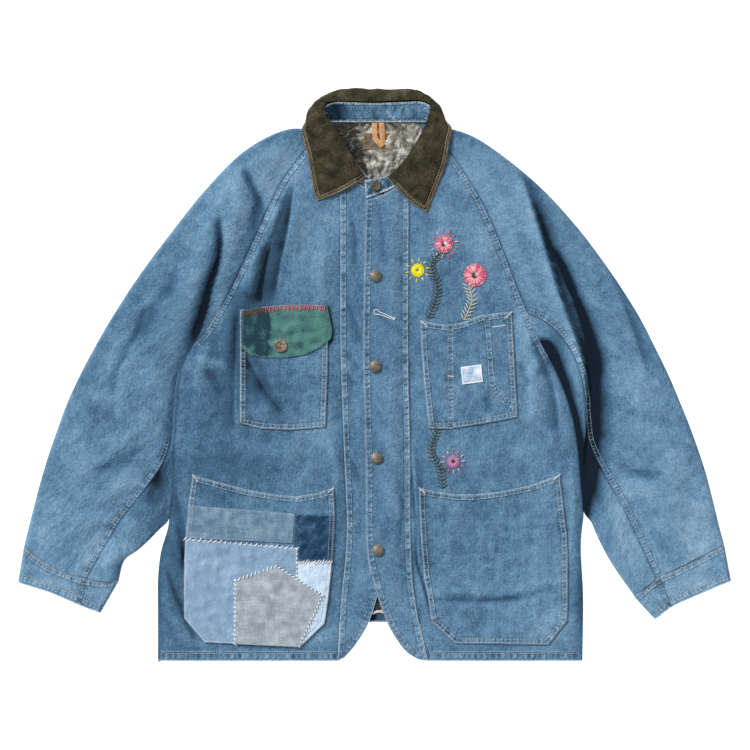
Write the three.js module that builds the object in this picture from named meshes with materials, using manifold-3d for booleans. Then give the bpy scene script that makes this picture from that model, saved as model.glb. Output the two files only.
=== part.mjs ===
// A patched denim work jacket laid flat on its back, front side up.
// Millimetres, +X to the wearer's left, +Y towards the collar, +Z up from the surface it lies on.
// Each piece is a closed wall of cloth: a grid of points and the same grid moved by the wall.
import * as THREE from "three";
import { mergeVertices } from "three/addons/utils/BufferGeometryUtils.js";
import Module from "manifold-3d";

const wasm = await Module();
wasm.setup();

const GAP = 0.3; // left between pieces that are sewn or lie on each other
const CLOTH = 2; // denim panel
const BAND = 2.3; // front band, two layers of denim
const POCKET = 1.6;
const PATCH = 1;
const LINING = 1;
const FALL = 2.2; // collar fall, corduroy on denim
const STAND = 1.8;
const HEM_Y = -393;
const BACK_HEM_RISE = 53; // the middle of the back hem is this much higher than its sides
const LINING_TOP = CLOTH + GAP + LINING;
const FRONT_Z = LINING_TOP + GAP; // underside of the fronts
const SIDE_Z = CLOTH + GAP; // underside of the fronts along the side seams
const SLEEVE_Z = 8.2; // top of a sleeve lying flat
const CUFF_Z = 9.5;
const LAP_Z = FRONT_Z + BAND + GAP; // underside of the upper band over the lower one
const BESIDE = 1.6; // between a sleeve and the body's side
const BUTTON_R = 8.2;

const group = new THREE.Group();
const finish = {
  denim: [0x6f93b8, 0.9],
  lining: [0xa7a496, 0.5],
  corduroy: [0x4b4536, 0.95],
  leather: [0xd79a66, 0.7],
  brass: [0x51483a, 0.45],
  teal: [0x4f7f78, 0.9],
  shell: [0x8d8468, 0.35],
  grey: [0x8fa3ad, 0.9],
  indigo: [0x3f5d80, 0.9],
  pale: [0xb4cbdb, 0.9],
  white: [0xe6e6e2, 0.8],
};

const smooth = (t) => {
  const c = Math.min(1, Math.max(0, t));
  return c * c * (3 - 2 * c);
};
const mix = (a, b, t) => a.map((v, i) => v + (b[i] - v) * t);
const away = (a, b, step) => mix(a, b, step / Math.hypot(b[0] - a[0], b[1] - a[1]));
const range = (n) => Array.from({ length: n + 1 }, (_, i) => i / n);

// A smooth curve through hand-placed points, asked for by the index of its points.
function along(points) {
  const through = points.map((p) => new THREE.Vector3(p[0], p[1], p[2] ?? 0));
  const line = new THREE.CatmullRomCurve3(through, false, "centripetal");
  return (k) => line.getPoint(k / (points.length - 1)).toArray().slice(0, points[0].length);
}
const curve = (points, steps) => range(steps).map((t) => along(points)(t * (points.length - 1)));

// The X of a chain of points at height Y.
function xAt(chain, y) {
  for (let i = 1; i < chain.length; i += 1) {
    const [a, b] = [chain[i - 1], chain[i]];
    if ((a[1] - y) * (b[1] - y) <= 0 && a[1] !== b[1]) {
      return a[0] + ((b[0] - a[0]) * (y - a[1])) / (b[1] - a[1]);
    }
  }
  return Math.abs(y - chain[0][1]) < Math.abs(y - chain.at(-1)[1]) ? chain[0][0] : chain.at(-1)[0];
}

// Distance to a chain of points, and how far along it the nearest point is, from 0 to 1.
function nearest(path, x, y) {
  let best = [Infinity, 0];
  for (let i = 1; i < path.length; i += 1) {
    const [ax, ay] = path[i - 1];
    const [dx, dy] = [path[i][0] - ax, path[i][1] - ay];
    const t = Math.min(1, Math.max(0, ((x - ax) * dx + (y - ay) * dy) / (dx * dx + dy * dy)));
    const d = Math.hypot(x - ax - t * dx, y - ay - t * dy);
    if (d < best[0]) best = [d, (i - 1 + t) / (path.length - 1)];
  }
  return best;
}

// Height added by soft folds: each is a bell across its path, fading out at both ends.
function folds(list, x, y) {
  return list.reduce((sum, { path, width, height }) => {
    const [d, t] = nearest(path, x, y);
    return sum + height * Math.exp(-((d / width) ** 2)) * smooth(t * 5) * smooth((1 - t) * 5);
  }, 0);
}

function solid(positions, triangles) {
  const geometry = new THREE.BufferGeometry();
  geometry.setAttribute("position", new THREE.Float32BufferAttribute(positions.flat(), 3));
  geometry.setIndex(triangles);
  return geometry;
}

// A closed wall between two equal grids, the first on the outside. A ring is closed along its rows.
function wall(outer, inner, ring = false) {
  const rows = outer.length;
  const cols = outer[0].length;
  const last = ring ? cols : cols - 1;
  const at = (side, i, j) => (side * rows + i) * cols + (j % cols);
  const faces = [];
  const quad = (a, b, c, d) => faces.push(a, b, c, a, c, d);
  for (let i = 0; i + 1 < rows; i += 1) {
    for (let j = 0; j < last; j += 1) {
      quad(at(0, i, j), at(0, i, j + 1), at(0, i + 1, j + 1), at(0, i + 1, j));
      quad(at(1, i, j), at(1, i + 1, j), at(1, i + 1, j + 1), at(1, i, j + 1));
    }
  }
  for (let j = 0; j < last; j += 1) {
    quad(at(1, 0, j), at(1, 0, j + 1), at(0, 0, j + 1), at(0, 0, j));
    quad(at(0, rows - 1, j), at(0, rows - 1, j + 1), at(1, rows - 1, j + 1), at(1, rows - 1, j));
  }
  for (let i = 0; i + 1 < rows && !ring; i += 1) {
    quad(at(0, i, 0), at(0, i + 1, 0), at(1, i + 1, 0), at(1, i, 0));
    quad(at(1, i, cols - 1), at(1, i + 1, cols - 1), at(0, i + 1, cols - 1), at(0, i, cols - 1));
  }
  const geometry = solid([...outer.flat(), ...inner.flat()], faces);
  if (volume(geometry) < 0) {
    const index = geometry.index.array;
    for (let k = 0; k < index.length; k += 3) {
      [index[k], index[k + 1]] = [index[k + 1], index[k]];
    }
  }
  return geometry;
}

function volume(geometry) {
  const p = geometry.attributes.position;
  const index = geometry.index.array;
  const corner = (k) => new THREE.Vector3().fromBufferAttribute(p, index[k]);
  let sum = 0;
  for (let k = 0; k < index.length; k += 3) {
    sum += corner(k).dot(corner(k + 1).cross(corner(k + 2)));
  }
  return sum;
}

const lifted = (grid, by) => grid.map((row) => row.map(([x, y, z]) => [x, y, z + by]));
const slab = (grid, from, thick) => wall(lifted(grid, from + thick), lifted(grid, from));

// A wall under a curved grid, moved in along the surface's own normal.
function under(grid, thick) {
  return grid.map((row, i) =>
    row.map((p, j) => {
      const along = [grid[Math.max(0, i - 1)][j], grid[Math.min(grid.length - 1, i + 1)][j]];
      const across = [row[Math.max(0, j - 1)], row[Math.min(row.length - 1, j + 1)]];
      const [a, b] = [along, across].map(([from, to]) =>
        new THREE.Vector3(...to).sub(new THREE.Vector3(...from)),
      );
      const normal = a.cross(b).normalize().multiplyScalar(thick);
      return [p[0] - normal.x, p[1] - normal.y, p[2] - normal.z];
    }),
  );
}

function flat(outline, low, thick, holes = []) {
  const shape = new THREE.Shape(outline.map(([x, y]) => new THREE.Vector2(x, y)));
  shape.holes = holes.map((h) => new THREE.Path(h.map(([x, y]) => new THREE.Vector2(x, y))));
  const geometry = new THREE.ExtrudeGeometry(shape, { depth: thick, bevelEnabled: false });
  return geometry.translate(0, 0, low);
}

function toManifold(geometry) {
  const bare = geometry.clone();
  bare.deleteAttribute("normal");
  bare.deleteAttribute("uv");
  const merged = mergeVertices(bare, 1e-4);
  return new wasm.Manifold(
    new wasm.Mesh({
      numProp: 3,
      vertProperties: merged.attributes.position.array,
      triVerts: new Uint32Array(merged.index.array),
    }),
  );
}

// A layer that lies on a panel: the panel's own points moved up, kept inside the layer's outline.
function layer(grid, from, thick, outline) {
  const sheet = toManifold(slab(grid, from, thick));
  const cut = sheet.intersect(toManifold(flat(outline, -5, 60))).getMesh();
  const geometry = new THREE.BufferGeometry();
  geometry.setAttribute("position", new THREE.Float32BufferAttribute(cut.vertProperties, 3));
  geometry.setIndex(Array.from(cut.triVerts));
  return geometry;
}

function add(name, geometry, look) {
  const [color, roughness] = finish[look];
  const metalness = look === "brass" ? 0.8 : 0;
  geometry.computeVertexNormals();
  const material = new THREE.MeshStandardMaterial({ color, roughness, metalness });
  const mesh = new THREE.Mesh(geometry, material);
  mesh.name = name;
  group.add(mesh);
}

// Each side of the jacket. The raglan seam runs from the collar to the branch of the sleeve seams,
// and on to the armpit. The outer fold and the sleeve seam are paired, point by point, with it.
const sides = {
  right: {
    bow: 8,
    raglan: [[-80, 330], [-102, 302], [-129, 265], [-153, 215], [-177, 162], [-200, 114], [-211, 94]],
    shoulder: [[-83, 338], [-120, 338], [-178, 309], [-236, 251], [-275, 202], [-313, 152], [-336, 119]],
    seam: [[-211, 94], [-240, 66], [-259, 37], [-277, 0], [-283, -40], [-288, -80], [-298, -118],
      [-312, -148], [-327, -171], [-347, -200], [-366, -232], [-393, -279]],
    outer: [[-336, 119], [-362, 78], [-380, 47], [-399, 12], [-421, -34], [-436, -74], [-451, -118],
      [-461, -152], [-466, -171], [-473, -198], [-478, -218], [-482, -235]],
    inner: [[-211, 94], [-231, 61], [-249, 42], [-269.5, -4], [-274.5, -50], [-277.5, -100],
      [-280.5, -155], [-285, -198], [-300, -217], [-325, -241], [-344, -255], [-352, -282]],
    side: [[-249, 42], [-265, 9], [-271, -40], [-275, -90], [-278, -159], [-283, -205], [-294, -244],
      [-298, -280], [-298, -330], [-298, HEM_Y]],
    band: [[-47, 278], [-47, 212], [-47, 130], [-47, 47], [-43, -80], [-38, -214], [-41, -262],
      [-46, -310], [-50, HEM_Y]],
    edge: [[16, 241], [14, 170], [13, 0], [16, -145], [16, -228], [10, -276], [-1, -321], [-10, -345],
      [-20, -362], [-30, -376], [-42, -389]],
    cuffSeam: [[-482.5, -236.5], [-460, -255], [-432, -269], [-405, -279], [-377, -284], [-352, -283.5]],
    cuffEnd: [[-490.5, -285], [-468, -292], [-446, -299], [-420, -310], [-399, -319], [-377, -327]],
  },
  left: {
    bow: 0,
    raglan: [[86, 333], [101, 311], [116, 289], [145, 243], [173, 181], [196, 120], [210, 86]],
    shoulder: [[85, 341], [112, 337], [142, 325], [219, 267], [280, 202], [329, 136], [350, 104]],
    seam: [[210, 86], [234, 74], [255, 56], [272, 31], [283, 3], [289, -28], [291, -60], [295, -90],
      [306, -116], [321, -144], [339, -175], [361, -221], [388, -279]],
    outer: [[350, 104], [361, 86], [371, 68], [384, 42], [397, 16], [409, -10], [421, -39], [432, -66],
      [443, -96], [455, -132], [464, -166], [474, -207], [481, -233]],
    inner: [[210, 86], [228, 46], [240, 24], [254.5, -2], [267, -30], [276, -65], [281.8, -104],
      [285.5, -145], [289, -179], [296, -197], [309, -228], [327, -261], [357, -304]],
    side: [[240, 24], [252, 0], [265, -33], [274, -65], [280, -104], [283.5, -145], [287, -190],
      [284, -234], [287, -300], [287, -344], [286, HEM_Y]],
    band: [[46, 272], [47.5, 219], [47, 157], [47, 6], [49, -76], [50, -214], [53, -283],
      [60, -331], [68, -371], [73, HEM_Y]],
    edge: [[-12, 241], [-14, 170], [-16, 34], [-14, -63], [-12, -138], [-12, -207], [-10, -250],
      [-2, -284], [8, -316], [19, -344], [32, -366], [44, -381], [60, -391]],
    cuffSeam: [[481.5, -235], [454, -248.5], [427, -262.5], [407, -272], [388, -280.5], [357.5, -305.5]],
    cuffEnd: [[490.5, -283], [464, -294], [443, -303], [422, -312], [405, -321], [386, -336]],
  },
};

// The main creases. Heights are above the cloth lying flat, and a negative one is a valley.
const creases = {
  right: [
    { path: [[-216, 235], [-222, 190], [-236, 140], [-249, 90], [-262, 40]], width: 14, height: 8 },
    { path: [[-185, 289], [-219, 240], [-233, 192], [-251, 130]], width: 18, height: 5 },
    { path: [[-181, 287], [-171, 265], [-163, 232], [-170, 190]], width: 9, height: 3 },
    { path: [[-330, 60], [-352, 0], [-368, -60]], width: 22, height: 4 },
    { path: [[-430, -60], [-410, -120], [-400, -170]], width: 18, height: 4 },
    { path: [[-320, -130], [-360, -160], [-420, -170]], width: 14, height: 3 },
  ],
  left: [
    { path: [[193, 288], [207, 260], [224, 219], [239, 178], [255, 130], [272, 82], [285, 40], [292, 6],
      [294, -28], [290, -63]], width: 17, height: 11 },
    { path: [[214, 254], [241, 206], [270, 144], [300, 60], [308, 0], [303, -60]], width: 8, height: -4 },
    { path: [[350, 20], [378, -50], [392, -110]], width: 24, height: 4 },
    { path: [[330, -150], [380, -160], [430, -190]], width: 14, height: 3 },
    { path: [[420, -90], [410, -150], [418, -200]], width: 16, height: 3 },
  ],
  frontRight: [
    { path: [[-128, 256], [-139, 205], [-154, 155], [-154, 102]], width: 16, height: 2.4 },
    { path: [[-90, 250], [-96, 180], [-112, 120]], width: 16, height: 1.8 },
    { path: [[-240, 20], [-215, 5], [-198, -20]], width: 12, height: 2.4 },
    { path: [[-225, 60], [-236, 10], [-240, -60]], width: 10, height: 2 },
    { path: [[-268, -160], [-258, -210], [-262, -280], [-250, -345]], width: 9, height: 2 },
    { path: [[-66, -95], [-56, -130], [-50, -180]], width: 9, height: 1.8 },
  ],
  frontLeft: [
    { path: [[96, 250], [100, 200], [88, 140]], width: 14, height: 2 },
    { path: [[196, 6], [214, -10], [226, -60]], width: 11, height: 2.4 },
    { path: [[225, 40], [206, 0], [212, -90]], width: 12, height: 1.6 },
    { path: [[54, -90], [58, -145], [60, -220], [68, -280]], width: 8, height: 1.4 },
    { path: [[82, -305], [112, -308], [150, -310], [200, -305], [250, -290]], width: 8, height: 1.6 },
    { path: [[272, -120], [276, -180], [270, -260]], width: 9, height: 1.8 },
  ],
};

const RAGLAN_STEPS = 9;
const ARMPIT_STEPS = 3;
const SIDE_STEPS = 14;
const SEAM_STEPS = 16;
for (const s of Object.values(sides)) {
  s.raglanLine = curve(s.raglan, RAGLAN_STEPS);
  s.shoulderLine = curve(s.shoulder, RAGLAN_STEPS);
  s.armpitLine = curve(s.inner.slice(0, 3), ARMPIT_STEPS);
  s.sideLine = curve(s.side, SIDE_STEPS);
  s.bandLine = curve(s.band, 40);
  // from the collar down to the hem
  s.bodyLine = [...s.raglanLine, ...s.armpitLine.slice(1), ...s.sideLine.slice(1)];
}

// A front panel's upper face: rows from the collar to the hem, columns from its band to the side.
const FRONT_COLS = 12;
function frontGrid(s, list) {
  const top = s.bodyLine[0][1];
  const bandTop = s.band[0][1];
  return s.bodyLine.map(([outerX, outerY]) => {
    const share = (top - outerY) / (top - HEM_Y);
    const bandY = bandTop + (HEM_Y - bandTop) * share;
    const from = [xAt(s.bandLine, bandY) + Math.sign(outerX) * GAP, bandY];
    return range(FRONT_COLS).map((u) => {
      const [x, y] = mix(from, [outerX, outerY], u);
      const inset = smooth((Math.abs(outerX - x) + 2) / 16);
      const low = SIDE_Z + (FRONT_Z - SIDE_Z) * inset;
      return [x, y, low + CLOTH + folds(list, x, y) * inset];
    });
  });
}

// A front band's upper face, from the sewn line to its free edge.
const BAND_COLS = 4;
const BAND_ROWS = 26;
function bandGrid(s, low, bow = 0) {
  const edgeLine = curve(s.edge, 60);
  return range(BAND_ROWS).map((v) => {
    const y0 = s.band[0][1] + (HEM_Y - s.band[0][1]) * v;
    const y1 = s.edge[0][1] + (s.edge.at(-1)[1] - s.edge[0][1]) * v;
    const from = [xAt(s.bandLine, y0), y0];
    const to = [xAt(edgeLine, y1), y1];
    return range(BAND_COLS).map((u) => {
      const [x, straight] = mix(from, to, u);
      const y = straight - bow * 4 * u * (1 - u) * (1 - v) ** 12;
      return [x, y, low(x, y) + BAND];
    });
  });
}

const grids = {
  frontRight: frontGrid(sides.right, creases.frontRight),
  frontLeft: frontGrid(sides.left, creases.frontLeft),
  bandRight: bandGrid(sides.right, () => FRONT_Z),
  // the upper band lies over the lower one and comes down to the front beside it
  bandLeft: bandGrid(sides.left, (x, y) => {
    const lap = smooth((44 - x) / 22) * smooth((y + 362) / 40);
    return FRONT_Z + (LAP_Z - FRONT_Z) * lap;
  }, 6),
};

// The back, or its lining kept this far inside its seams and above its hem.
function backOutline(inset, hemInset, neck) {
  const shift = ([x, y]) => [x - Math.sign(x) * inset, y];
  const down = (s) => s.bodyLine.map(shift);
  const half = sides.left.side.at(-1)[0] - inset;
  const hem = range(16).map((t) => {
    const x = half - t * (half + Math.abs(sides.right.side.at(-1)[0]) - inset);
    return [x, HEM_Y + hemInset + BACK_HEM_RISE * (1 - (x / 292) ** 2)];
  });
  const seams = [down(sides.right), hem.reverse().slice(1, -1), down(sides.left).reverse()];
  return [[-70, neck], ...seams.flat(), [74, neck]];
}

// A sleeve piece, from its seam over a fold and back under to the same seam.
// The section is flat below, lies at its height above, and rounds off at the fold.
const FOLD_R = 5;
function foldedSheet(rows, top) {
  const over = [0, 0.12, 0.24, 0.36, 0.48, 0.6, 0.72, 0.84, 0.94, 1];
  const back = [0.92, 0.5, 0];
  const mid = SLEEVE_Z / 2;
  const loop = (inset) =>
    rows.map(({ from, to, bow }) => {
      const width = Math.hypot(to[0] - from[0], to[1] - from[1]);
      const start = 1 - Math.min(FOLD_R, width * 0.45) / width;
      const reach = 1 - inset / width;
      const point = (u, height) => {
        const round = Math.sqrt(Math.max(0, 1 - Math.max(0, (u - start) / (1 - start)) ** 2));
        const [x, y] = mix(from, to, u * reach);
        const drop = bow * 4 * u * (1 - u);
        return [x, y - drop, mid + (height(x, y) - mid) * round];
      };
      return [
        ...over.map((u) => point(u, (x, y) => top(x, y, u) - inset)),
        ...back.map((u) => point(u, () => inset)),
      ];
    });
  return wall(loop(0), loop(CLOTH));
}

function sleeve(s, list, name) {
  const [seam, outer] = [along(s.seam), along(s.outer)];
  const last = s.seam.length - 1;
  const [armpit, below] = [along(s.inner.slice(0, 3)), along(s.inner.slice(2))];
  const clear = (k) => GAP + (BESIDE - GAP) * smooth(k / 1.2);
  const inner = (k) => away(k <= 2 ? armpit(k) : below(k - 2), seam(k), clear(k));
  const raglanRows = s.raglanLine.slice(0, -1).map((p, i) => ({
    from: away(p, s.shoulderLine[i], GAP), to: s.shoulderLine[i], bow: 0,
  }));
  const toArmpit = [0, 0.35, 1, 2];
  const steps = [...toArmpit, ...range(SEAM_STEPS).map((t) => t * last).filter((k) => k > 2.4)];
  const seamRow = (k, to, bow) => ({ from: away(seam(k), to(k), GAP), to: to(k), bow });
  const overRows = steps.map((k) => seamRow(k, outer, s.bow * smooth((k / last - 0.7) / 0.3)));
  const underRows = steps.slice(1).map((k) => seamRow(k, inner, 0));
  const low = FRONT_Z + CLOTH;
  const lie = (x, y, u) => {
    const beside = nearest(s.bodyLine, x, y)[0];
    const flatTop = low + (SLEEVE_Z - low) * smooth(beside / 24);
    return flatTop + folds(list, x, y) * smooth(beside / 12) * smooth((1.02 - u) * 6);
  };
  add(`${name}_top`, foldedSheet([...raglanRows, ...overRows], lie), "denim");
  add(`${name}_under`, foldedSheet(underRows, lie), "denim");
}

// A cuff is a flat ring: over the top, round one fold, back under and round the other.
function cuff(s, name) {
  const seam = curve(s.cuffSeam, 14);
  const end = curve(s.cuffEnd, 14);
  const loop = (inset) =>
    range(3).map((v) => {
      const line = seam.map((p, i) => mix(p, end[i], v));
      const ends = [line[0], line.at(-1)];
      const middle = mix(ends[0], ends[1], 0.5);
      const width = Math.hypot(ends[0][0] - ends[1][0], ends[0][1] - ends[1][1]);
      const point = (t, height) => {
        const index = t * (line.length - 1);
        const p = line[Math.round(index)];
        const near = (Math.min(t, 1 - t) * width) / FOLD_R;
        const round = Math.sqrt(Math.max(0, 1 - Math.max(0, 1 - near) ** 2));
        const [x, y] = mix(middle, p, 1 - (2 * inset) / width);
        return [x, y, CUFF_Z / 2 + (height - CUFF_Z / 2) * round];
      };
      const steps = range(14);
      return [
        ...steps.map((t) => point(t, CUFF_Z - inset)),
        ...steps.slice(1, -1).reverse().map((t) => point(t, inset)),
      ];
    });
  add(name, wall(loop(0), loop(CLOTH + GAP), true), "denim");
}

// The stand runs from under the tab, round the neck, to the tab with the top button.
// Each station is its sewn edge and its upper edge.
const stand = [
  [[16, 243, 3.6], [14, 262, 3.6]],
  [[-13, 260, 3.6], [-8, 272, 4.4]],
  [[-31, 271, 3.6], [-20, 286, 6]],
  [[-45, 280, 3.6], [-34, 307, 8]],
  [[-58, 300, 3.6], [-48, 328, 9.5]],
  [[-71, 322, 3.6], [-60, 345, 10.5]],
  [[-76, 336, 3.7], [-67, 358, 11]],
  [[-72, 347, 3.7], [-68, 368, 11]],
  [[-60, 348, 3.7], [-58, 374, 11]],
  [[-30, 348, 3.7], [-30, 374.5, 11]],
  [[3, 348, 3.7], [3, 373.5, 11]],
  [[35, 348, 3.7], [38, 375, 11]],
  [[62, 348, 3.7], [66, 375, 11]],
  [[77, 347, 3.7], [76, 369, 11]],
  [[82, 338, 3.7], [74, 356, 11]],
  [[74, 320, 3.7], [66, 336, 10.5]],
  [[61, 300, 4], [54, 315, 9.5]],
  [[51.5, 284, 4.6], [42, 297, 8.5]],
  [[45, 273.5, 5.4], [26, 279, 7.5]],
  [[26.5, 258.5, 6.2], [8, 271, 6.8]],
  [[-11.5, 243, 6.2], [-14, 268, 6.4]],
];
function standGrid() {
  const edges = [0, 1].map((k) => curve(stand.map((p) => p[k]), 40));
  return edges[0].map((p, i) => range(3).map((u) => mix(p, edges[1][i], u)));
}

// The fall is folded over the stand. Each station is the fold's inner line, the middle of its section,
// its free edge, and how high the section is carried before and after its middle.
const fall = [
  [[-12, 272, 10.5], [-43, 253.5], [-79, 239, 8.6], 13, 10.5],
  [[-23, 289, 12], [-54, 270], [-84, 255, 8.8], 14, 11],
  [[-34, 307, 13], [-60, 290], [-87, 275, 9.4], 15, 12],
  [[-48, 329, 14], [-70, 313], [-92, 301, 10.6], 16, 13],
  [[-60, 346, 15], [-79, 334], [-97, 321, 12], 17, 14],
  [[-67, 358, 15.5], [-85, 348], [-100, 338, 11], 17, 14],
  [[-69, 368, 15.5], [-91, 361], [-93, 349, 4.5], 17, 5],
  [[-65, 374, 15.5], [-82, 375], [-80, 357, 0.6], 17, 0.4],
  [[-54, 376, 15.5], [-65, 386], [-64, 357, 0.2], 18, 0],
  [[-36, 376, 15.5], [-40, 392.2], [-40, 357, 0.2], 18, 0],
  [[3, 375.5, 15.5], [5, 392.6], [3, 357, 0.2], 18, 0],
  [[38, 377, 15.5], [38, 392.2], [38, 357, 0.2], 18, 0],
  [[62, 377, 15.5], [64, 389.2], [62, 357, 0.2], 18, 0],
  [[74, 373, 15.5], [81, 378], [80, 357, 0.6], 17, 0.4],
  [[77, 366, 15.5], [93, 363], [93, 350, 4.5], 17, 5],
  [[74, 356, 15.5], [91, 349], [106, 340, 11], 17, 14],
  [[67, 338, 15], [86, 329], [103, 319, 12], 17, 14],
  [[55, 316, 14], [77, 302], [97, 287, 10.6], 16, 13],
  [[43, 298, 13], [67, 279], [87, 261, 9.4], 15, 12],
  [[28, 281, 12], [56, 257], [79, 239, 8.8], 14, 11],
  [[17, 272, 11], [45, 242], [72, 223, 8.6], 13, 10.5],
];
function fallGrid() {
  const keys = fall.map(([a, c, d, before, after]) => {
    const k = [0, 1].map((i) => (8 * c[i] - a[i] - d[i]) / 6);
    return [a, [...k, before], [...k, after], d];
  });
  const lines = [0, 1, 2, 3].map((n) => curve(keys.map((key) => key[n]), 40));
  return lines[0].map((_, i) => {
    const section = new THREE.CubicBezierCurve3(...lines.map((l) => new THREE.Vector3(...l[i])));
    return range(8).map((t) => section.getPoint(t).toArray());
  });
}

function dome(name, at, radius, height, look) {
  const profile = [[0, 0], [radius * 0.8, 0], [radius, height * 0.35], [radius * 0.94, height * 0.6],
    [radius * 0.6, height * 0.92], [0, height]].map(([x, y]) => new THREE.Vector2(x, y));
  const geometry = new THREE.LatheGeometry(profile, 14).rotateX(Math.PI / 2);
  add(name, geometry.translate(...at), look);
}

// The highest point of a panel near a place, for what is sewn on there.
function topNear(grid, x, y, radius) {
  const near = grid.flat().filter((p) => Math.hypot(p[0] - x, p[1] - y) < radius);
  return Math.max(...near.map((p) => p[2]));
}

const pockets = {
  chestRight: [[-185, 90], [-185, 41], [-185, -67], [-155, -74], [-116, -76], [-67, -72], [-64, 34],
    [-64, 92]],
  flap: [[-181, 89], [-123, 94], [-65, 96], [-58, 61], [-60, 50], [-75, 38], [-96, 28], [-123, 24],
    [-155, 24], [-171, 28], [-181, 39]],
  chestLeft: [[75, -74], [68, -8], [64, 47], [63, 75], [97, 69], [120, 72], [145, 82], [173, 85], [189, 87],
    [192, 34], [195, -21], [197, -58], [145, -68], [104, -74]],
  lowerRight: [[-262, -335], [-262, -255], [-259, -214], [-255, -173], [-250, -137], [-219, -146],
    [-178, -157], [-137, -164], [-107, -167], [-78, -162], [-56, -155], [-54, -193], [-56, -234], [-58, -269], [-63, -310],
    [-68, -342], [-102, -375], [-233, -368]],
  lowerLeft: [[78, -339], [74, -310], [68, -276], [64, -228], [62, -186], [61, -155], [83, -160], [111, -164],
    [138, -164], [173, -160], [214, -152], [255, -137], [259, -173], [265, -221], [266, -269], [266, -310],
    [265, -338], [239, -371], [111, -369]],
  tag: [[113, 18], [146, 22], [148, -5], [116, -9]],
};
const patches = {
  patch_grey_blue: [[-256, -179], [-109.5, -190.5], [-113, -231], [-258, -224]],
  patch_indigo: [[-108.8, -190.5], [-56, -192.5], [-58.5, -256], [-104.5, -256], [-105.4, -237.4],
    [-112.4, -231]],
  patch_light_blue: [[-260.5, -225], [-106, -238], [-107, -373.5], [-232.5, -367], [-261, -334.5]],
  patch_pale: [[-105.4, -257.5], [-59, -257], [-64, -310], [-69, -341.5], [-103, -374], [-106.4, -373]],
};
const pentagon = [[-191, -282], [-134, -262], [-71, -303], [-103, -373.5], [-192, -369.5]];

add("back", flat(backOutline(0, 0, 352), 0, CLOTH), "denim");
add("back_lining", flat(backOutline(23, 12, 349), CLOTH + GAP, LINING), "lining");
add("front_right", slab(grids.frontRight, -CLOTH, CLOTH), "denim");
add("front_left", slab(grids.frontLeft, -CLOTH, CLOTH), "denim");
add("band_right", slab(grids.bandRight, -BAND, BAND), "denim");
add("band_left", slab(grids.bandLeft, -BAND, BAND), "denim");
sleeve(sides.right, creases.right, "sleeve_right");
sleeve(sides.left, creases.left, "sleeve_left");
cuff(sides.right, "cuff_right");
cuff(sides.left, "cuff_left");
add("collar_stand", slab(standGrid(), 0, STAND), "denim");
const fallTop = fallGrid();
add("collar", wall(fallTop, under(fallTop, FALL)), "corduroy");

const labelOutline = [[-16, 333], [23, 333], [23, 311], [-16, 311]];
add("neck_label", flat(labelOutline, LINING_TOP + GAP, PATCH), "lining");
const loopOutline = [[-3, 325], [8, 312], [15, 318], [14, 347], [-4, 347]];
const loopSlot = [[3.4, 345], [5.4, 345], [7.6, 328], [4, 327]];
add("hanger_loop", flat(loopOutline, LINING_TOP + 2 * GAP + PATCH, CLOTH, [loopSlot]), "leather");

add("pocket_chest_right", layer(grids.frontRight, GAP, POCKET, pockets.chestRight), "denim");
add("flap_chest_right", layer(grids.frontRight, POCKET + 2 * GAP, POCKET, pockets.flap), "teal");
add("pocket_chest_left", layer(grids.frontLeft, GAP, POCKET, pockets.chestLeft), "denim");
add("woven_tag", layer(grids.frontLeft, POCKET + 2 * GAP, PATCH, pockets.tag), "white");
add("pocket_lower_right", layer(grids.frontRight, GAP, POCKET, pockets.lowerRight), "denim");
add("pocket_lower_left", layer(grids.frontLeft, GAP, POCKET, pockets.lowerLeft), "denim");
const onPocket = POCKET + 2 * GAP;
const patchLooks = ["grey", "indigo", "denim", "pale"];
Object.entries(patches).forEach(([name, outline], i) => {
  add(name, layer(grids.frontRight, onPocket, PATCH, outline), patchLooks[i]);
});
add("patch_pentagon", layer(grids.frontRight, onPocket + PATCH + GAP, PATCH, pentagon), "grey");

const buttonRows = [[1, 136], [1, 12], [3, -114], [5, -241]];
buttonRows.forEach(([x, y], i) => {
  dome(`button_${i + 2}`, [x, y, LAP_Z + BAND + GAP], BUTTON_R, 4.6, "brass");
});
dome("button_1", [2, 260, LAP_Z + 0.7 + STAND], BUTTON_R * 0.86, 3, "brass");
const flapTop = topNear(grids.frontRight, -129, 40, 24) + 2 * POCKET + 3 * GAP;
dome("flap_button", [-129, 40, flapTop], 9.2, 3.2, "shell");

export default group;
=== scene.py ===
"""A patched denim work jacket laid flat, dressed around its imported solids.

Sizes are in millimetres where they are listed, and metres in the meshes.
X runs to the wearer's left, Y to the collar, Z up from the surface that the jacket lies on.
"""

import math

import bmesh
import bpy
import numpy as np
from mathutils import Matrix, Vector
from mathutils.bvhtree import BVHTree


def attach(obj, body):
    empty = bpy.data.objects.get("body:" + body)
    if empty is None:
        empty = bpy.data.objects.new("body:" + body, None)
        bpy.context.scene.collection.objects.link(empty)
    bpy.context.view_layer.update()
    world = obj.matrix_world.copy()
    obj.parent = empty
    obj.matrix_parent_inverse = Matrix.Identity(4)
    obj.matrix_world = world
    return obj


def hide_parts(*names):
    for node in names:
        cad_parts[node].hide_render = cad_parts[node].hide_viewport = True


bl_info = {
    "name": "Patched denim jacket",
    "version": (1, 0, 0),
    "blender": (4, 5, 0),
    "location": "View3D > Sidebar > Jacket",
    "description": "Builds the cloth, seams, stitches and buttons of a patched denim jacket",
    "category": "Add Mesh",
}

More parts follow.
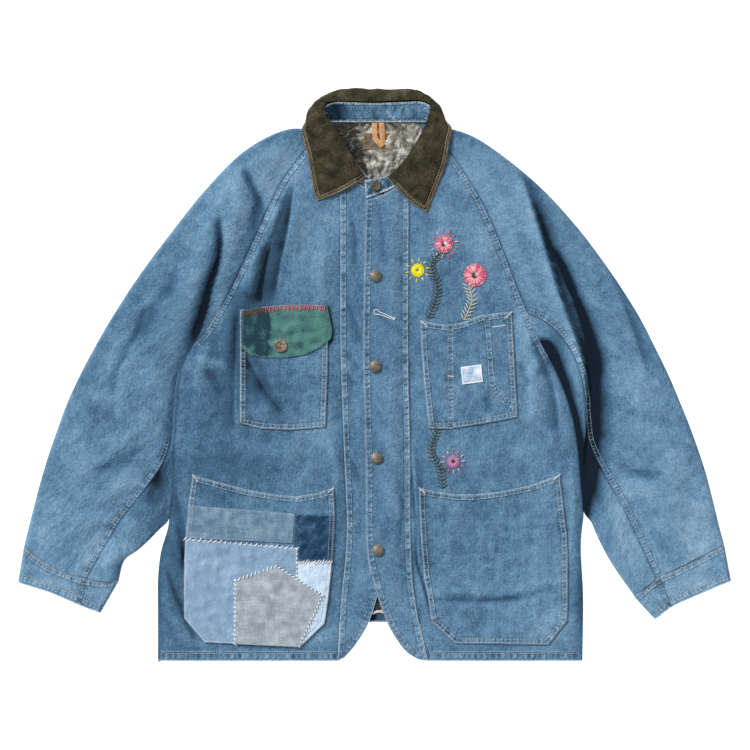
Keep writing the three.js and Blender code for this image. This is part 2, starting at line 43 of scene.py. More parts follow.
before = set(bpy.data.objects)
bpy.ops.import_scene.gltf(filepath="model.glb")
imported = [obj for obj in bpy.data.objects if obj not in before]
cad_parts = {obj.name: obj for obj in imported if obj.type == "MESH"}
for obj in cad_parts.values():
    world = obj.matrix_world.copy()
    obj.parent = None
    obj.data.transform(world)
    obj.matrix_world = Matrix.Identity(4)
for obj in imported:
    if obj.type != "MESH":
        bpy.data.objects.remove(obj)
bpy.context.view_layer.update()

MM = 0.001
GAP = 0.3
TOUCH = 0.02  # between the two pieces of a sleeve, so that no floor shows through the seam
CLOTH = 2.0
BAND = 2.3
POCKET = 1.6
PATCH = 1.0
FALL = 2.2
STAND = 1.8
HEM_Y = -393.0
SIDE_Z = CLOTH + GAP
LINING_TOP = SIDE_Z + 1.0
FRONT_Z = LINING_TOP + GAP
LAP_Z = FRONT_Z + BAND + GAP
SLEEVE_Z = 9.0
CUFF_Z = 9.5
FOLD_R = 5.0
BACK_HEM_RISE = 53.0
HEM_HALF = 292  # half the width of the back's hem
FELL = 6.0  # width of a felled seam, between its two rows of stitches
FAR = 40.0  # a distance past which no finish looks
SEAM_SHOWS = -92  # the wearer's right inseam is under the front above this Y
FALL_COLS = 42
WAVES = 9
STAND_COLS = 14
HOLE_SIDES = 14


# Curves and fields


def smooth(t):
    """Zero below 0, one above 1, and 3t^2 - 2t^3 between."""
    t = np.clip(t, 0, 1)
    return t * t * (3 - 2 * t)


def bell(d, width):
    """One at zero distance, 1/e at the width: exp(-(d / width)^2)."""
    return np.exp(-((d / width) ** 2))


def oval(x, y, cx, cy, rx, ry):
    """A bell in two directions: exp(-((x - cx) / rx)^2 - ((y - cy) / ry)^2)."""
    return np.exp(-(((x - cx) / rx) ** 2) - ((y - cy) / ry) ** 2)


def leftward(step):
    """Directions in the plane, turned a quarter to the left."""
    return np.stack([-step[:, 1], step[:, 0]], 1)


def direction(path):
    """The way that a chain runs at each of its points, as a unit vector."""
    step = np.gradient(path, axis=0)
    return step / np.linalg.norm(step, axis=1, keepdims=True)


def compass(count, turn=0.0):
    """Unit vectors at even angles all round."""
    a = np.linspace(0, 2 * math.pi, count, endpoint=False) + turn
    return np.stack([np.cos(a), np.sin(a)], 1)


def cubic(points, k):
    """A centripetal Catmull-Rom curve through the points, at index k, as Hermite pieces."""
    p = np.asarray(points, float)
    k = np.clip(np.atleast_1d(np.asarray(k, float)), 0, len(p) - 1)
    q = np.vstack([2 * p[0] - p[1], p, 2 * p[-1] - p[-2]])
    i = np.minimum(k.astype(int), len(p) - 2)
    t = (k - i)[:, None]
    a, b, c, d = (q[i + n] for n in range(4))
    e, f, g = (np.sqrt(np.linalg.norm(v - u, axis=1))[:, None] for u, v in ((a, b), (b, c), (c, d)))
    m = ((b - a) / e - (c - a) / (e + f) + (c - b) / f) * f
    n = ((c - b) / f - (d - b) / (f + g) + (d - c) / g) * f
    return ((2 * t**3 - 3 * t**2 + 1) * b + (t**3 - 2 * t**2 + t) * m
            + (3 * t**2 - 2 * t**3) * c + (t**3 - t**2) * n)


def curve(points, count):
    """Points at even steps of the index along the curve."""
    return cubic(points, np.linspace(0, len(points) - 1, count))


def lengths(path):
    return np.concatenate([[0], np.cumsum(np.linalg.norm(np.diff(path, axis=0), axis=1))])


def evenly(path, count):
    """The same chain of points, walked at even steps of its length."""
    path = np.asarray(path, float)
    run = lengths(path)
    at = np.linspace(0, run[-1], count)
    return np.stack([np.interp(at, run, path[:, i]) for i in range(path.shape[1])], 1)


def offset(path, by):
    """The chain moved sideways, to its left for a positive distance."""
    path = np.asarray(path, float)
    step = np.gradient(path, axis=0)
    step /= np.linalg.norm(step, axis=1, keepdims=True) + 1e-9
    return path + by * leftward(step)


def nearest(path, x, y):
    """Distance from each place to a chain of points, and the length along the chain there."""
    path = np.asarray(path, float)
    runs = lengths(path)
    best = np.full(x.shape, 1e9)
    run = np.zeros(x.shape)
    for (ax, ay), (bx, by), start, end in zip(path[:-1], path[1:], runs[:-1], runs[1:]):
        dx, dy = bx - ax, by - ay
        t = np.clip(((x - ax) * dx + (y - ay) * dy) / (dx * dx + dy * dy + 1e-12), 0, 1)
        d = np.hypot(x - ax - t * dx, y - ay - t * dy)
        closer = d < best
        best = np.where(closer, d, best)
        run = np.where(closer, start + t * (end - start), run)
    return best, run


def folds(table, x, y):
    """Sum of soft creases: a bell across each path that fades out at both of its ends."""
    total = np.zeros(x.shape)
    for path, width, height in table:
        path = curve(path, 4 * len(path))
        d, run = nearest(path, x, y)
        t = run / lengths(path)[-1]
        total += height * bell(d, width) * smooth(t * 4) * smooth((1 - t) * 4)
    return total


def ledges(table, x, y):
    """Cloth that drops beside a line and comes back slowly: a step to one side of each path, then a
    return like a bell that widens on the way. A positive reach falls to the path's left."""
    total = np.zeros(x.shape)
    for path, reach, drop in table:
        path = curve(path, 3 * len(path))
        d, run = nearest(path, x, y)
        ahead = np.gradient(path, axis=0)
        runs = lengths(path)
        px, py, dx, dy = (np.interp(run, runs, c) for c in (*path.T, *ahead.T))
        side = np.sign(dx * (y - py) - dy * (x - px)) * np.sign(reach)
        t = run / runs[-1]
        fade = smooth(t * 5) * smooth((1 - t) * 5)
        wide = abs(reach) * (0.6 + 0.8 * t)
        total -= drop * smooth(side * d / 5 + 0.5) * bell(np.maximum(side * d, 0), wide) * fade
    return total


def ripples(x, y, wave, seed):
    """Plane waves of about one length, each its own way, added up: the sum of
    sin(k (x cos a + y sin a) + phase), over the root of their number."""
    rng = np.random.default_rng(seed)
    total = np.zeros(x.shape)
    for _ in range(WAVES):
        angle, phase = rng.uniform(0, 2 * math.pi, 2)
        k = 2 * math.pi / (wave * rng.uniform(0.7, 1.5))
        total += np.sin(k * (x * math.cos(angle) + y * math.sin(angle)) + phase)
    return total / math.sqrt(WAVES)


# The pattern, in millimetres. Each side of the jacket, from the collar down.

SIDES = {
    "right": dict(
        sign=-1, bow=8,
        raglan=[(-80, 330), (-102, 302), (-129, 265), (-153, 215), (-177, 162), (-200, 114), (-211, 94)],
        shoulder=[(-83, 338), (-120, 338), (-178, 309), (-236, 251), (-275, 202), (-313, 152), (-336, 119)],
        seam=[(-211, 94), (-235, 65), (-254, 40), (-270, 3), (-277, -40), (-280, -84), (-290, -118),
            (-310, -149), (-328, -172), (-350, -200), (-370, -233), (-396, -279)],
        outer=[(-336, 119), (-362, 78), (-380, 47), (-399, 12), (-421, -34), (-436, -74), (-451, -118),
            (-461, -152), (-466, -171), (-473, -198), (-478, -218), (-482, -235)],
        inner=[(-211, 94), (-231, 61), (-249, 42), (-269.5, -4), (-274.5, -50), (-277.5, -100),
            (-280.5, -155), (-285, -198), (-300, -217), (-325, -241), (-344, -255), (-352, -282)],
        side=[(-249, 42), (-265, 9), (-271, -40), (-275, -90), (-278, -159), (-283, -205), (-294, -244),
            (-298, -280), (-298, -330), (-298, HEM_Y)],
        band=[(-47, 278), (-47, 212), (-47, 130), (-47, 47), (-43, -80), (-38, -214), (-41, -262),
            (-46, -310), (-50, HEM_Y)],
        edge=[(16, 241), (14, 170), (13, 0), (16, -145), (16, -228), (10, -276), (-1, -321), (-10, -345),
            (-20, -362), (-30, -376), (-42, -389)],
        cuff_seam=[(-482.5, -236.5), (-460, -255), (-432, -269), (-405, -279), (-377, -284),
            (-352, -283.5)],
        cuff_end=[(-490.5, -285), (-468, -292), (-446, -299), (-420, -310), (-399, -319), (-377, -327)],
    ),
    "left": dict(
        sign=1, bow=0,
        raglan=[(86, 333), (101, 311), (116, 289), (145, 243), (173, 181), (196, 120), (210, 86)],
        shoulder=[(85, 341), (112, 337), (142, 325), (219, 267), (280, 202), (329, 136), (350, 104)],
        seam=[(210, 86), (234, 74), (255, 56), (272, 31), (283, 3), (289, -28), (291, -60), (295, -90),
            (306, -116), (321, -144), (339, -175), (361, -221), (388, -279)],
        outer=[(350, 104), (361, 86), (371, 68), (384, 42), (397, 16), (409, -10), (421, -39), (432, -66),
            (443, -96), (455, -132), (464, -166), (474, -207), (481, -233)],
        inner=[(210, 86), (228, 46), (240, 24), (254.5, -2), (267, -30), (276, -65), (281.8, -104),
            (285.5, -145), (289, -179), (296, -197), (309, -228), (327, -261), (357, -304)],
        side=[(240, 24), (252, 0), (265, -33), (274, -65), (280, -104), (283.5, -145), (287, -190),
            (284, -234), (287, -300), (287, -344), (286, HEM_Y)],
        band=[(46, 272), (47.5, 219), (47, 157), (47, 6), (49, -76), (50, -214), (53, -283),
            (60, -331), (68, -371), (73, HEM_Y)],
        edge=[(-12, 241), (-14, 170), (-16, 34), (-14, -63), (-12, -138), (-12, -207), (-10, -250),
            (-2, -284), (8, -316), (19, -344), (32, -366), (44, -381), (60, -391)],
        cuff_seam=[(481.5, -235), (454, -248.5), (427, -262.5), (407, -272), (388, -280.5),
            (357.5, -305.5)],
        cuff_end=[(490.5, -283), (464, -294), (443, -303), (422, -312), (405, -321), (386, -336)],
    ),
}
for _s in SIDES.values():
    _s["raglan_line"] = curve(_s["raglan"], 120)
    _s["armpit_line"] = curve(_s["inner"][:3], 24)
    _s["side_line"] = curve(_s["side"], 160)
    _s["body_line"] = np.vstack([_s["raglan_line"], _s["armpit_line"][1:], _s["side_line"][1:]])
    _s["band_line"] = curve(_s["band"], 200)
    _s["edge_line"] = curve(_s["edge"], 200)
    _s["seam_line"] = curve(_s["seam"], 160)

# Creases as (path, width, height): a negative height is a valley.
SLEEVE_FOLDS = {
    "right": [
        ([(-186, 280), (-219, 225), (-240, 165), (-262, 100), (-278, 40)], 16, 3.5),
        ([(-152, 290), (-182, 240), (-202, 190), (-224, 130)], 14, 3),
        ([(-181, 287), (-171, 265), (-163, 232), (-170, 190)], 8, -3),
        ([(-330, 60), (-352, 0), (-368, -60)], 24, 2.2),
        ([(-300, 120), (-290, 70), (-297, 10), (-305, -50)], 16, 2.2),
        ([(-430, -60), (-410, -120), (-400, -170)], 20, 1.8),
        ([(-320, -130), (-360, -160), (-420, -170)], 12, 1.8),
        ([(-300, -40), (-330, -80), (-380, -100)], 12, 1.8),
        ([(-345, -190), (-385, -200), (-430, -195)], 9, 1.4),
        ([(-270, 150), (-300, 90), (-330, 40)], 9, -1.4),
        ([(-310, -90), (-350, -120), (-400, -135)], 7, -1.6),
        ([(-120, 325), (-150, 300), (-190, 270)], 9, 1.2),
    ],
    "left": [
        ([(193, 288), (207, 260), (224, 219), (239, 178), (255, 130), (272, 82), (282, 40), (284, 6),
          (283, -28), (282, -63)], 17, 5),
        ([(350, 20), (378, -50), (392, -110)], 26, 2),
        ([(330, -150), (380, -160), (430, -190)], 12, 1.8),
        ([(420, -90), (410, -150), (418, -200)], 16, 1.8),
        ([(330, -100), (350, -130), (400, -140)], 8, -1.6),
        ([(340, -40), (370, -60), (420, -70)], 9, -1.2),
        ([(380, -210), (410, -205), (450, -215)], 8, 1.2),
        ([(130, 325), (160, 300), (190, 270)], 9, 1.2),
    ],
}
FRONT_FOLDS = {
    "right": [
        ([(-113, 248), (-122, 220), (-137, 185), (-150, 145), (-154, 100)], 9, -2.4),
        ([(-100, 250), (-108, 215), (-120, 180), (-133, 140)], 13, 2.2),
        ([(-128, 256), (-145, 205), (-168, 155), (-170, 102)], 12, 2),
        ([(-165, 40), (-154, 0), (-141, -28), (-123, -55)], 7, -1.6),
        ([(-246, 27), (-220, 15), (-198, 6)], 7, 2),
        ([(-240, 10), (-222, -5), (-205, -35)], 7, -1.6),
        ([(-233, -28), (-225, -45), (-219, -55)], 6, 1.6),
        ([(-225, 60), (-236, 10), (-244, -60)], 9, 1.4),
        ([(-278, -160), (-271, -200), (-264, -240), (-263, -275)], 6, -1.8),
        ([(-290, -290), (-281, -325), (-262, -352)], 6, 1.6),
        ([(-71, -90), (-61, -97), (-52, -130), (-50, -172)], 6, 1.8),
        ([(-66, 210), (-76, 120), (-70, 20)], 9, 1),
        ([(-200, -90), (-150, -110), (-90, -100)], 16, 1.2),
    ],
    "left": [
        ([(96, 250), (100, 200), (88, 140)], 13, 1.6),
        ([(130, 240), (150, 190), (160, 130)], 14, 1.6),
        ([(232, 30), (222, 10), (214, -10)], 7, 1.8),
        ([(196, 20), (206, 2), (214, -20)], 6, -1.4),
        ([(225, 40), (216, 0), (222, -90)], 9, 1.4),
        ([(53, -90), (57, -145), (60, -228), (68, -283), (73, -320)], 6, 1.5),
        ([(82, -305), (112, -306), (150, -309), (200, -305), (250, -290)], 5, -1.2),
        ([(272, -120), (276, -180), (270, -260)], 8, 1.5),
        ([(152, -28), (156, -40), (160, -52)], 5, -1.2),
        ([(90, -95), (160, -110), (240, -100)], 16, 1.2),
    ],
}

# Wear and wash, and painted shade and light, as (x, y, reach across, reach down, tone): paler for more than
# nothing.
ZONES = [
    (-140, 150, 60, 60, -0.06), (-165, 20, 40, 90, -0.10), (-150, -110, 60, 40, -0.10),
    (130, -95, 80, 40, -0.04), (215, 20, 28, 90, -0.02), (-225, 30, 30, 110, -0.14),
    (160, 220, 30, 60, 0.16), (105, 205, 45, 40, 0.04), (-120, 265, 50, 30, 0.10),
    (0, 0, 34, 420, -0.08), (-285, -260, 22, 150, -0.22), (0, -385, 300, 22, 0.03),
    (440, -292, 60, 26, 0.32), (-440, -292, 60, 26, 0.28), (-350, 0, 60, 110, -0.06),
    (370, 20, 50, 110, 0.02), (420, -150, 60, 70, 0.08), (-430, -130, 50, 80, 0.04),
    (160, -260, 100, 90, -0.04), (-210, -120, 80, 20, -0.12),
    (-125, -20, 55, 50, -0.08), (-265, 10, 22, 70, -0.06),
    (-158, 104, 20, 24, -0.34), (-188, 55, 13, 55, -0.28), (-118, 290, 26, 24, 0.26),
    (-146, 244, 18, 26, 0.2), (-82, -80, 26, 34, 0.22), (-60, 208, 22, 35, 0.22),
    (125, 275, 22, 26, 0.22), (206, 70, 18, 34, 0.24), (204, 5, 16, 40, 0.2), (235, -17, 12, 26, 0.1),
    (352, -238, 24, 34, 0.3), (334, -184, 12, 26, 0.26), (-370, -242, 44, 24, 0.28),
    (446, -238, 32, 26, 0.26), (-83, -358, 30, 18, 0.26), (244, -345, 34, 26, 0.25),
    (450, -190, 28, 52, 0.2), (-456, -212, 26, 42, 0.2), (216, -274, 42, 36, 0.18),
    (231, 25, 14, 24, -0.16), (284, -40, 12, 22, -0.16), (-352, -268, 8, 16, -0.3),
    (-172, 95, 16, 20, -0.14),
    (-7, -110, 10, 40, -0.12), (398, -308, 8, 10, 0.14), (4, -337, 12, 14, -0.12),
    (-307, -219, 10, 40, -0.14),
    (-180, 255, 8, 12, -0.14), (-233, -40, 10, 14, -0.14), (-267, 4, 12, 34, 0.2),
    (-29, 107, 14, 22, -0.14), (-112, 224, 8, 18, -0.16), (-195, -318, 14, 24, -0.14),
    (-47, -100, 10, 60, -0.12), (-312, -171, 8, 10, -0.14), (410, -123, 12, 20, -0.12),
    (3, -337, 10, 14, -0.14),
    (-274, -85, 10, 24, 0.14), (178, 154, 12, 30, 0.12), (-44, -315, 14, 30, 0.12),
    (-177, 30, 9, 56, -0.34), (-160, -14, 12, 16, -0.3), (-127, 173, 9, 22, -0.2),
    (234, 182, 10, 28, -0.16),
    (255, 73, 8, 40, -0.12), (-266, -270, 10, 20, -0.16), (-91, -362, 14, 12, 0.1),
    (-68, 242, 12, 10, -0.2), (-220, 171, 10, 16, -0.18),
    (-275, 101, 14, 18, -0.16), (-219, -160, 24, 30, -0.18), (286, -311, 10, 50, -0.2),
    (304, -101, 8, 26, -0.22),
    (112, -300, 60, 26, 0.12), (-94, 162, 26, 44, 0.16), (-242, 6, 14, 24, 0.12),
    (-213, 98, 10, 14, 0.22),
    (-201, 271, 14, 26, 0.16), (-301, 60, 20, 60, -0.16), (200, 95, 12, 40, 0.1),
    (290, -290, 8, 60, -0.2), (-25, -330, 14, 40, -0.05),
]
# The same, in the shade of each arm, on the under sleeves alone.
ARMPITS = {
    "right": [(-303, -138, 13, 22, -0.95), (-308, -168, 10, 10, -0.3), (-325, -190, 12, 8, -0.25)],
    "left": [(297, -125, 13, 42, -1.1), (296, -160, 14, 22, -0.5), (250, 30, 14, 30, -0.3)],
}


def ovals(table, x, y):
    """Sum of soft oval patches of tone."""
    total = np.zeros(x.shape)
    for cx, cy, rx, ry, tone in table:
        total += tone * oval(x, y, cx, cy, rx, ry)
    return total


SLEEVE_LEDGES = {
    "right": [
        ([(-209.7, 233.1), (-211.1, 209.7), (-208.3, 182.2), (-212.4, 151.9), (-220.7, 124.4),
          (-228.9, 91.4), (-238.6, 61.2), (-253.7, 26.8)], -12, 7.5),
        ([(-184.9, 294.9), (-176.7, 267.4), (-161.6, 239.9), (-154.7, 212.4), (-160.2, 178.1)], 10, 2.5),
        ([(-160.2, 233.1), (-168.4, 191.8), (-182.2, 154.7), (-195.9, 123.1), (-209.7, 95.6)], 9, 2.5),
        ([(-308.7, 102.4), (-322.4, 61.2), (-349.9, 3.4), (-360.9, -35.1)], -10, 2),
    ],
    "left": [
        ([(194.6, 297.7), (205.6, 267.4), (226.2, 205.6), (239.9, 160.2), (253.7, 116.2), (268.8, 74.9),
          (282.6, 36.4), (290.8, 0.7), (293.6, -37.8), (292.2, -73.6), (289.4, -103.8), (286.7, -138.2),
          (285.3, -165.7)], 23, 8.6),
        ([(238.6, 184.9), (250.9, 160.2), (263.3, 129.9), (274.3, 102.4), (285.3, 72.2), (294.9, 40.6),
          (300.4, 13.1), (303.2, -18.6)], 11, 6.5),
        ([(310.1, 171.2), (340.3, 102.4), (365.1, 33.7), (378.8, -21.3)], 12, 2),
    ],
}
FRONT_LEDGES = {
    "right": [
        ([(-290.8, -255.1), (-278.4, -296.3), (-259.2, -344.4), (-245.4, -376.1)], 7, 2.2),
        ([(-274.3, -200.1), (-267.4, -241.3), (-261.9, -282.6)], 6, 1.8),
        ([(-179.4, 33.7), (-165.7, 6.2), (-147.8, -24.1), (-129.9, -44.7), (-113.4, -59.8)], -9, 1.8),
        ([(-278.4, -145.1), (-271.6, -179.4), (-264.7, -220.7), (-266.1, -268.8)], 6, 1.4),
        ([(-109.3, 267.4), (-114.8, 233.1), (-120.3, 191.8), (-129.9, 150.6), (-135.4, 116.2),
          (-136.8, 94.2)], -15, 3.4),
        ([(-140.9, 184.9), (-149.2, 146.4), (-154.7, 113.4), (-154.7, 94.2)], -12, 3),
        ([(-187.7, 102.4), (-190.4, 33.7), (-193.2, -48.8), (-190.4, -90.1)], -12, 1.8),
    ],
    "left": [
        ([(50.2, -110.7), (52.9, -158.8), (55.7, -206.9), (57.1, -255.1), (63.9, -279.8), (69.4, -299.1),
          (73.6, -316.9), (77.7, -344.4)], 2.2, 4.5),
        ([(215.2, 61.2), (227.6, 30.9), (244.1, -7.6), (252.3, -48.8), (252.3, -90.1)], -12, 2.2),
        ([(52.9, -83.2), (57.1, -145.1), (59.8, -227.6), (68.1, -296.3)], 14, 1.6),
        ([(172.6, 294.9), (180.8, 253.7), (194.6, 198.7), (202.8, 157.4)], 8, 1.4),
    ],
}

# Painted shade of the bands' creases, drawn in tone alone.
BAND_CREASE_SHADE = {
    "right": [
        ([(-44.7, 40.6), (-35.1, 30.9), (-25.4, 18.6), (-15.8, 4.8)], -9, 1.6),
        ([(-36.4, 8.9), (-30.9, -7.6), (-30.9, -28.2), (-35.1, -46.1)], -9, 1.8),
        ([(-37.8, 102.4), (-29.6, 85.9), (-22.7, 63.9), (-18.6, 40.6)], -8, 2.2),
        ([(-39.2, -106.6), (-30.9, -114.8), (-24.1, -128.6), (-19.9, -150.6)], -9, 1.6),
        ([(-41.9, -62.6), (-36.4, -90.1), (-39.2, -120.3), (-44.7, -145.1)], -7, 1.8),
        ([(-36.4, 239.9), (-28.2, 209.7), (-24.1, 176.7), (-26.8, 143.7)], -7, 2.4),
    ],
    "left": [
        ([(-3.4, 102.4), (7.6, 85.9), (24.1, 72.2), (40.6, 63.9)], -5, 1.6),
        ([(24.1, -255.1), (40.6, -263.3), (51.6, -279.8), (57.1, -299.1)], -6, 1.6),
        ([(2.1, 245.4), (10.3, 209.7), (13.1, 171.2), (7.6, 146.4)], -5, 2.0),
        ([(29.6, -131.3), (37.8, -172.6), (37.8, -213.8), (32.3, -249.6)], -5, 2.2),
    ],
}

STAND_STATIONS = [
    ((16, 243, 3.6), (14, 262, 3.6)), ((-13, 260, 3.6), (-8, 272, 4.4)), ((-31, 271, 3.6), (-20, 286, 6)),
    ((-45, 280, 3.6), (-34, 307, 8)), ((-58, 300, 3.6), (-48, 328, 9.5)),
    ((-71, 322, 3.6), (-60, 345, 10.5)),
    ((-76, 336, 3.7), (-67, 358, 11)), ((-72, 347, 3.7), (-68, 368, 11)),
    ((-60, 348, 3.7), (-58, 374, 11)),
    ((-30, 348, 3.7), (-30, 374.5, 11)), ((3, 348, 3.7), (3, 373.5, 11)), ((35, 348, 3.7), (38, 375, 11)),
    ((62, 348, 3.7), (66, 375, 11)), ((77, 347, 3.7), (76, 369, 11)), ((82, 338, 3.7), (74, 356, 11)),
    ((74, 320, 3.7), (66, 336, 10.5)), ((61, 300, 4), (54, 315, 9.5)), ((51.5, 284, 4.6), (42, 297, 8.5)),
    ((45, 273.5, 5.4), (26, 279, 7.5)), ((26.5, 258.5, 6.2), (8, 271, 6.8)),
    ((-11.5, 243, 6.2), (-14, 268, 6.4)),
]
# The fall: its inner line, the middle of its section, its free edge, and the section's height
# before and after its middle.
FALL_STATIONS = [
    ((-12, 272, 10.5), (-43, 253.5), (-79, 239, 8.6), 13, 10.5),
    ((-23, 289, 12), (-54, 270), (-84, 255, 8.8), 14, 11),
    ((-34, 307, 13), (-60, 290), (-87, 275, 9.4), 15, 12),
    ((-48, 329, 14), (-70, 313), (-92, 301, 10.6), 16, 13),
    ((-60, 346, 15), (-79, 334), (-97, 321, 12), 17, 14),
    ((-67, 358, 15.5), (-85, 348), (-100, 338, 11), 17, 14),
    ((-69, 368, 15.5), (-91, 361), (-93, 349, 4.5), 17, 5),
    ((-65, 374, 15.5), (-82, 375), (-80, 357, 0.6), 17, 0.4),
    ((-54, 376, 15.5), (-65, 386), (-64, 357, 0.2), 18, 0),
    ((-36, 376, 15.5), (-40, 392.2), (-40, 357, 0.2), 18, 0),
    ((3, 375.5, 15.5), (5, 392.6), (3, 357, 0.2), 18, 0),
    ((38, 377, 15.5), (38, 392.2), (38, 357, 0.2), 18, 0),
    ((62, 377, 15.5), (64, 389.2), (62, 357, 0.2), 18, 0),
    ((74, 373, 15.5), (81, 378), (80, 357, 0.6), 17, 0.4),
    ((77, 366, 15.5), (93, 363), (93, 350, 4.5), 17, 5),
    ((74, 356, 15.5), (91, 349), (106, 340, 11), 17, 14),
    ((67, 338, 15), (86, 329), (103, 319, 12), 17, 14),
    ((55, 316, 14), (77, 302), (97, 287, 10.6), 16, 13),
    ((43, 298, 13), (67, 279), (87, 261, 9.4), 15, 12),
    ((28, 281, 12), (56, 257), (79, 239, 8.8), 14, 11),
    ((17, 272, 11), (45, 242), (72, 223, 8.6), 13, 10.5),
]



def outline(side, top, bottom, left=(), right=(), on=None, lift=GAP, thick=POCKET):
    """A piece that lies on a front: its top and bottom edges, and the points between their ends on
    its left and right ones."""
    return dict(side=side, on=on, lift=lift, thick=thick, top=top, bottom=bottom,
                left=[top[0], *left, bottom[0]], right=[top[-1], *right, bottom[-1]])


ON_POCKET = POCKET + 2 * GAP


def patch(top, bottom, left=(), right=(), lift=ON_POCKET):
    """A patch on the wearer's right lower pocket."""
    return outline("right", top, bottom, left, right, "pocket_lower_right", lift, PATCH)


POCKETS = {
    "pocket_chest_right": outline(
        "right", [(-185, 90), (-123, 90), (-64, 92)],
        [(-185, -67), (-155, -74), (-116, -76), (-67, -72)], [(-185, 10)], [(-64, 10)]),
    "pocket_chest_left": outline(
        "left", [(63, 75), (78, 72), (97, 69), (120, 72), (145, 82), (170, 85), (189, 87)],
        [(75, -74), (104, -74), (145, -68), (197, -58)], [(64, 47), (68, -8)], [(192, 34), (195, -21)]),
    "pocket_lower_right": outline(
        "right",
        [(-250, -137), (-219, -146), (-178, -157), (-137, -164), (-107, -167), (-78, -162), (-56, -155)],
        [(-262, -335), (-233, -368), (-102, -375), (-68, -342)],
        [(-255, -173), (-259, -214), (-262, -255)], [(-54, -193), (-56, -234), (-58, -269), (-63, -310)]),
    "pocket_lower_left": outline(
        "left", [(61, -155), (83, -160), (111, -164), (138, -164), (173, -160), (214, -152), (255, -137)],
        [(78, -339), (111, -369), (239, -371), (265, -338)],
        [(62, -186), (64, -228), (68, -276), (74, -310)],
        [(259, -173), (265, -221), (266, -269), (266, -310)]),
}
PATCHES = {
    "flap_chest_right": outline(
        "right", [(-181, 89), (-163, 92), (-147, 94.5), (-123, 96.5), (-95, 97), (-65, 96)],
        [(-182.5, 39), (-171, 28), (-155, 24), (-123, 24), (-96, 28), (-75, 38), (-60, 50)],
        [(-182, 64)], [(-58, 61)], "pocket_chest_right", ON_POCKET),
    "woven_tag": outline(
        "left", [(118.5, 11), (146.5, 14.5)], [(121, -13), (149, -9.5)],
        on="pocket_chest_left", lift=ON_POCKET, thick=PATCH),
    "patch_grey_blue": patch([(-256, -179), (-109.5, -190.5)], [(-258, -224), (-113, -231)]),
    "patch_indigo": patch([(-108.8, -190.5), (-56, -192.5)], [(-104.5, -256), (-58.5, -256)],
                          [(-112.4, -231), (-105.4, -237.4)]),
    "patch_light_blue": patch([(-260.5, -225), (-106, -238)],
                              [(-261, -334.5), (-232.5, -367), (-107, -373.5)]),
    "patch_pale": patch([(-105.4, -257.5), (-59, -257)], [(-106.4, -373), (-103, -374), (-69, -341.5)],
                        right=[(-64, -310)]),
    "patch_pentagon": patch([(-191, -282), (-134, -262), (-71, -303)], [(-192, -369.5), (-103, -373.5)],
                            lift=ON_POCKET + PATCH + GAP),
}
# Pencil slots: pairs of stitched lines down the wearer's left chest pocket.
DIVIDERS = {
    "pocket_chest_left": [
        evenly([(101.1, 70.8), (101.1, -70.8)], 40), evenly([(107.9, 72.2), (108.6, -70.8)], 40),
        evenly(curve([(151.2, 77.7), (155.4, 35.1), (158.1, -4.8), (161.6, -22.7), (175.3, -37.1),
                      (191.8, -47.4)], 60), 60),
        evenly(curve([(158.1, 77.7), (160.9, 35.1), (164.3, -2.1), (168.4, -17.2), (179.4, -30.2),
                      (193.2, -39.2)], 60), 60),
    ],
}
BUTTONS = [(1, 136), (1, 12), (3, -114), (5, -241)]


# Heights of the layers, in millimetres


def shallow(height, floor):
    """Valleys below a floor are pressed flatter, so that a layer stays above the one under it."""
    return np.where(height < -floor, -floor + (height + floor) * 0.25, height)


def over_sleeve(side, y):
    """Where the wearer's right front lies on its sleeve: nearly one there, nothing elsewhere."""
    return 0.85 * (side == "right") * smooth((62 - y) / 20) * smooth((y + 190) / 40)


def front_top(side, x, y):
    """Top of a front: low beside its side seam, level over the lining, plus its creases."""
    s = SIDES[side]
    line = s["body_line"][::-1]
    beside = np.abs(np.interp(y, line[:, 1], line[:, 0]) - x)
    inset = np.maximum(smooth((beside + 2) / 16), over_sleeve(side, y))
    by_band = nearest(s["band_line"][::8], x, y)[0]
    full = 1.7 * smooth(by_band / 26)
    level = SIDE_Z + (FRONT_Z + full - SIDE_Z) * inset + CLOTH
    uneven = 0.6 * ripples(x, y * 0.6, 50, 11) + 0.28 * ripples(x, y, 19, 12) + 0.09 * ripples(x, y, 9, 13)
    creases = 1.4 * folds(FRONT_FOLDS[side], x, y) + 0.8 * ledges(FRONT_LEDGES[side], x, y)
    waves = shallow(creases + uneven * (0.3 + 0.7 * smooth(by_band / 26)), 1.6)
    return level + inset * waves


def front_crease_shade(side, x, y):
    """Painted shade of a front's creases: nearly none on their crests, dark in their valleys."""
    tone = 0.08 * folds(FRONT_FOLDS[side], x, y) + 0.15 * ledges(FRONT_LEDGES[side], x, y)
    return np.clip(tone, -0.7, 0.06)


def pocket_puff(name, x, y):
    """How far a pocket stands off its front: nothing at its sewn edge, most in its middle."""
    spec = POCKETS[name]
    chain = np.vstack([evenly(spec[k], 30) for k in ("left", "bottom")] + [evenly(spec["right"], 30)[::-1]])
    rim = nearest(chain, x, y)[0]
    return smooth(rim / 34) * (0.9 + 0.45 * ripples(x, y, 44, 81) + 0.25 * ripples(x, y, 18, 82))


def band_low(side, x, y):
    """Underside of a front band. The upper one steps down from the lap to the front beside it."""
    if side == "right":
        return np.full(x.shape, FRONT_Z)
    lap = smooth((44 - x) / 22) * smooth((y + 362) / 40)
    return FRONT_Z + (LAP_Z - FRONT_Z) * lap


